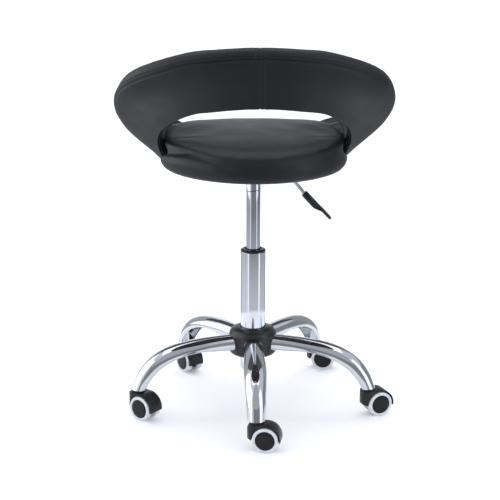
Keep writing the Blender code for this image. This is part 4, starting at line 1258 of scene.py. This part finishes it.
def make_lever(steel, plastic):
    """The lever's rod with its thread, and the paddle on it."""
    rod = joined([tube(lever_path(), LEVER_ROD_RADIUS, 32), thread_mesh()])
    add_piece("lever_rod_steel", rod, steel, "lever", ["lever_rod"])
    add_piece("lever_paddle", handle_shape(), plastic, "lever", ["lever_handle"], 50)


def hood_shape():
    """Caster hood with its rounded back, the web between the wheels and the stem's boss."""
    axle = (TRAIL, WHEEL_RADIUS)
    outline = arc_points(HOOD_RADIUS, 28, axle, math.radians(-8), math.radians(90))
    outline += [
        (point.x, point.y) for point in filleted([
            (-0.004, HOOD_TOP, 0.0), (-0.013, HOOD_TOP - 1.0 * MM, 5 * MM),
            (-HOOD_BACK, HOOD_TOP - 9 * MM, 5 * MM),
            (-HOOD_BACK, WHEEL_RADIUS + 2 * MM, 2.0 * MM), (-0.0155, WHEEL_RADIUS, 1.5 * MM),
            (-0.011, WHEEL_RADIUS - 1 * MM, 2 * MM), (TRAIL - 0.004, WHEEL_RADIUS - 7.5 * MM, 1.5 * MM),
            (TRAIL + 0.004, WHEEL_RADIUS - 7.5 * MM, 0.0),
        ])
    ]
    upright = Matrix.Rotation(math.radians(90), 4, "X")
    body = prism(outline, -HOOD_HALF_WIDTH, HOOD_HALF_WIDTH, upright)
    plan = arc_points(HOOD_BACK, 33, (0, 0), math.radians(90), math.radians(270))
    plan = [(HOOD_RADIUS * 2, HOOD_BACK), *plan, (HOOD_RADIUS * 2, -HOOD_BACK)]
    rounded_back = prism(plan, 0.0, HOOD_RADIUS * 3)
    body = combined(body, keeps=[rounded_back])
    boss = prism(arc_points(BOSS_RADIUS, 64), WHEEL_RADIUS + 0.008, BOSS_TOP)
    pocket = arc_points(HOOD_INNER_RADIUS, 72, axle)
    pockets = [
        prism(pocket, side * WEB_HALF, side * (HOOD_HALF_WIDTH + 0.005), upright) for side in (-1, 1)
    ]
    bore = prism(arc_points(0.0058, 40), 0.0415, BOSS_TOP + 0.002)
    return combined(body, joins=[boss], cuts=[*pockets, bore], bevel=0.8 * MM)


def wheel_shape():
    """Black wheel core with a gently domed cap and a fine step at its rim."""
    rim = TYRE_INNER_RADIUS - 0.3 * MM
    return turned([
        (0.0033, WHEEL_INNER_FACE, 0.3 * MM), (rim, WHEEL_INNER_FACE, 0.4 * MM),
        (rim, WHEEL_OUTER_FACE - 1.2 * MM, 0.4 * MM),
        (rim - 0.8 * MM, WHEEL_OUTER_FACE - 0.9 * MM, 0.5 * MM),
        (0.0140, WHEEL_OUTER_FACE + 0.1 * MM, 6 * MM), (0.0, WHEEL_OUTER_FACE + 0.5 * MM, 0.0),
        (0.0, 0.0163, 0.0), (0.0033, 0.0163, 0.0),
    ], 96)


def tyre_shape():
    """Tread ring with rounded shoulders and a thin moulding line."""
    crown = (WHEEL_INNER_FACE + TYRE_OUTER_FACE) / 2
    return turned([
        (TYRE_INNER_RADIUS, WHEEL_INNER_FACE, 0.4 * MM),
        (WHEEL_RADIUS - 0.2 * MM, WHEEL_INNER_FACE, 1.6 * MM),
        (WHEEL_RADIUS, crown - 0.4 * MM, 0.0), (WHEEL_RADIUS - 0.15 * MM, crown, 0.0),
        (WHEEL_RADIUS, crown + 0.4 * MM, 0.0), (WHEEL_RADIUS - 0.2 * MM, TYRE_OUTER_FACE, 3.0 * MM),
        (TYRE_INNER_RADIUS, TYRE_OUTER_FACE, 0.5 * MM),
    ], 96)


def make_casters(hood_plastic, cap_plastic, tread):
    """Five casters at rest, each turned its own way."""
    hood, wheel, tyre = hood_shape(), wheel_shape(), tyre_shape()
    for number in range(1, ARM_COUNT + 1):
        name = f"caster_{number}"
        angle = FIRST_ARM_ANGLE + 360 / ARM_COUNT * (number - 1)
        stem = Matrix.Translation(polar(CASTER_CIRCLE, angle + 90, 0.0))
        swivel = TO_COLUMN @ stem @ Matrix.Rotation(math.radians(CASTER_YAWS[number - 1]), 4, "Z")
        shell, hood_node = f"{name}_hood_shell", f"{name}_hood"
        add_piece(shell, hood.copy(), hood_plastic, name, [hood_node], 40, swivel)
        for turn, side in SIDES:
            body = f"{name}_wheel_{side}"
            place = swivel @ Matrix.Translation((TRAIL, 0, WHEEL_RADIUS))
            place = place @ Matrix.Rotation(math.radians(90 * turn), 4, "X")
            for part, shape, finish, slot, node in (
                ("cap", wheel, cap_plastic, "black_plastic", body),
                ("tread", tyre, tread, "grey_rubber", f"{name}_tyre_{side}"),
            ):
                add_piece(f"{name}_{part}_{side}", shape.copy(), finish, body, [node], 40, place)


def finish_cad_nodes(finishes):
    """CAD pieces whose shape is right keep their mesh and get a real finish."""
    for name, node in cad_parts.items():
        if node.hide_render:
            continue
        finish = next(value for start, value in finishes if name.startswith(start))
        node.data.materials.clear()
        node.data.materials.append(finish)
        round_edges(node, 0.3 * MM, 2, 50)


# ---------------------------------------------------------------- studio

def make_camera():
    """Camera behind the stool and above it, looking slightly down."""
    yaw, pitch, roll = [math.radians(turn) for turn in CAMERA_TURNS]
    data = bpy.data.cameras.new("camera")
    data.lens = CAMERA_LENS
    data.sensor_width = 36.0
    camera = placed("camera", data)
    camera.matrix_world = (
        TO_COLUMN @ Matrix.Translation(CAMERA_PLACE) @ Matrix.Rotation(yaw, 4, "Z")
        @ Matrix.Rotation(pitch, 4, "X") @ Matrix.Rotation(roll, 4, "Z")
    )
    bpy.context.scene.camera = camera


def add_overhead_light():
    """One soft light over the front of the stool, aimed at the column's upper end."""
    data = bpy.data.lights.new("overhead", "AREA")
    data.shape = "RECTANGLE"
    data.size, data.size_y = OVERHEAD_SIZE
    data.energy = OVERHEAD_POWER
    light = placed("overhead", data)
    light.location = OVERHEAD_PLACE
    aim = Vector(OVERHEAD_TARGET) - Vector(OVERHEAD_PLACE)
    light.rotation_euler = aim.to_track_quat("-Z", "Y").to_euler()


def add_card(name, first, last, near, far, profile):
    """A grey card that only reflections show: it runs in over the floor and stands up round it."""
    angles = np.linspace(first, last, CARD_STEPS)
    points = [polar(radius, angle, height) for angle in angles for radius, height in profile]
    card = placed(name, mesh_from(points, grid_faces(len(angles), len(profile), rings=False)))
    finish = Finish(name, (0, 0, 0), 1.0, Specular_IOR_Level=0.0)
    finish.shader.inputs["Emission Color"].default_value = (*STUDIO_TINT, 1.0)
    distance = finish.node("ShaderNodeVectorMath", operation="LENGTH")
    finish.link(finish.coordinates, distance.inputs[0])
    brightness = finish.ranged(distance.outputs["Value"], near, far, *CARD_FADE)
    finish.link(brightness, finish.shader.inputs["Emission Strength"])
    card.data.materials.append(finish.material)
    card.visible_camera = False
    card.visible_diffuse = False
    card.visible_transmission = False
    card.visible_shadow = False


def make_studio():
    """Pale floor, an even pale surround, soft lights and grey cards that give chrome its contrast."""
    corners = [(x * FLOOR_REACH, y * FLOOR_REACH, 0) for x, y in ((-1, -1), (1, -1), (1, 1), (-1, 1))]
    floor = placed("floor", mesh_from(corners, [(0, 1, 2, 3)]))
    floor.data.materials.append(floor_finish())
    world = bpy.data.worlds.new("studio")
    bpy.context.scene.world = world
    world.use_nodes = True
    background = world.node_tree.nodes["Background"]
    background.inputs["Color"].default_value = (*STUDIO_TINT, 1.0)
    background.inputs["Strength"].default_value = WORLD_STRENGTH
    for cards, profile in (
        (CARDS, CARD_PROFILE), (CEILINGS, CEILING_PROFILE), (SOFTBOXES, SOFTBOX_PROFILE),
    ):
        for card in cards:
            add_card(*card, profile)
    add_overhead_light()
    bpy.context.scene.view_settings.view_transform = "Standard"


def main():
    make_camera()
    leather = leather_finish()
    thread = thread_finish()
    arm_chrome, column_chrome, cylinder_chrome = [chrome_finish(*values) for values in CHROMES]
    cover_plastic, hood_plastic, cap_plastic = [plastic_finish(*values) for values in PLASTICS]
    steel = steel_finish()
    plate_black = black_steel_finish()
    make_back(leather, thread)
    make_seat_cushion(leather)
    make_dust_cover(cloth_finish())
    make_arms(arm_chrome)
    make_hub_covers(cover_plastic)
    make_column(column_chrome, cover_plastic)
    make_cylinder(cylinder_chrome, cap_plastic)
    make_lever(steel, cover_plastic)
    make_casters(hood_plastic, cap_plastic, tread_finish())
    finish_cad_nodes((
        ("seat_board", plywood_finish()), ("mounting_plate", plate_black), ("caster", steel), ("", steel),
    ))
    make_studio()


main()
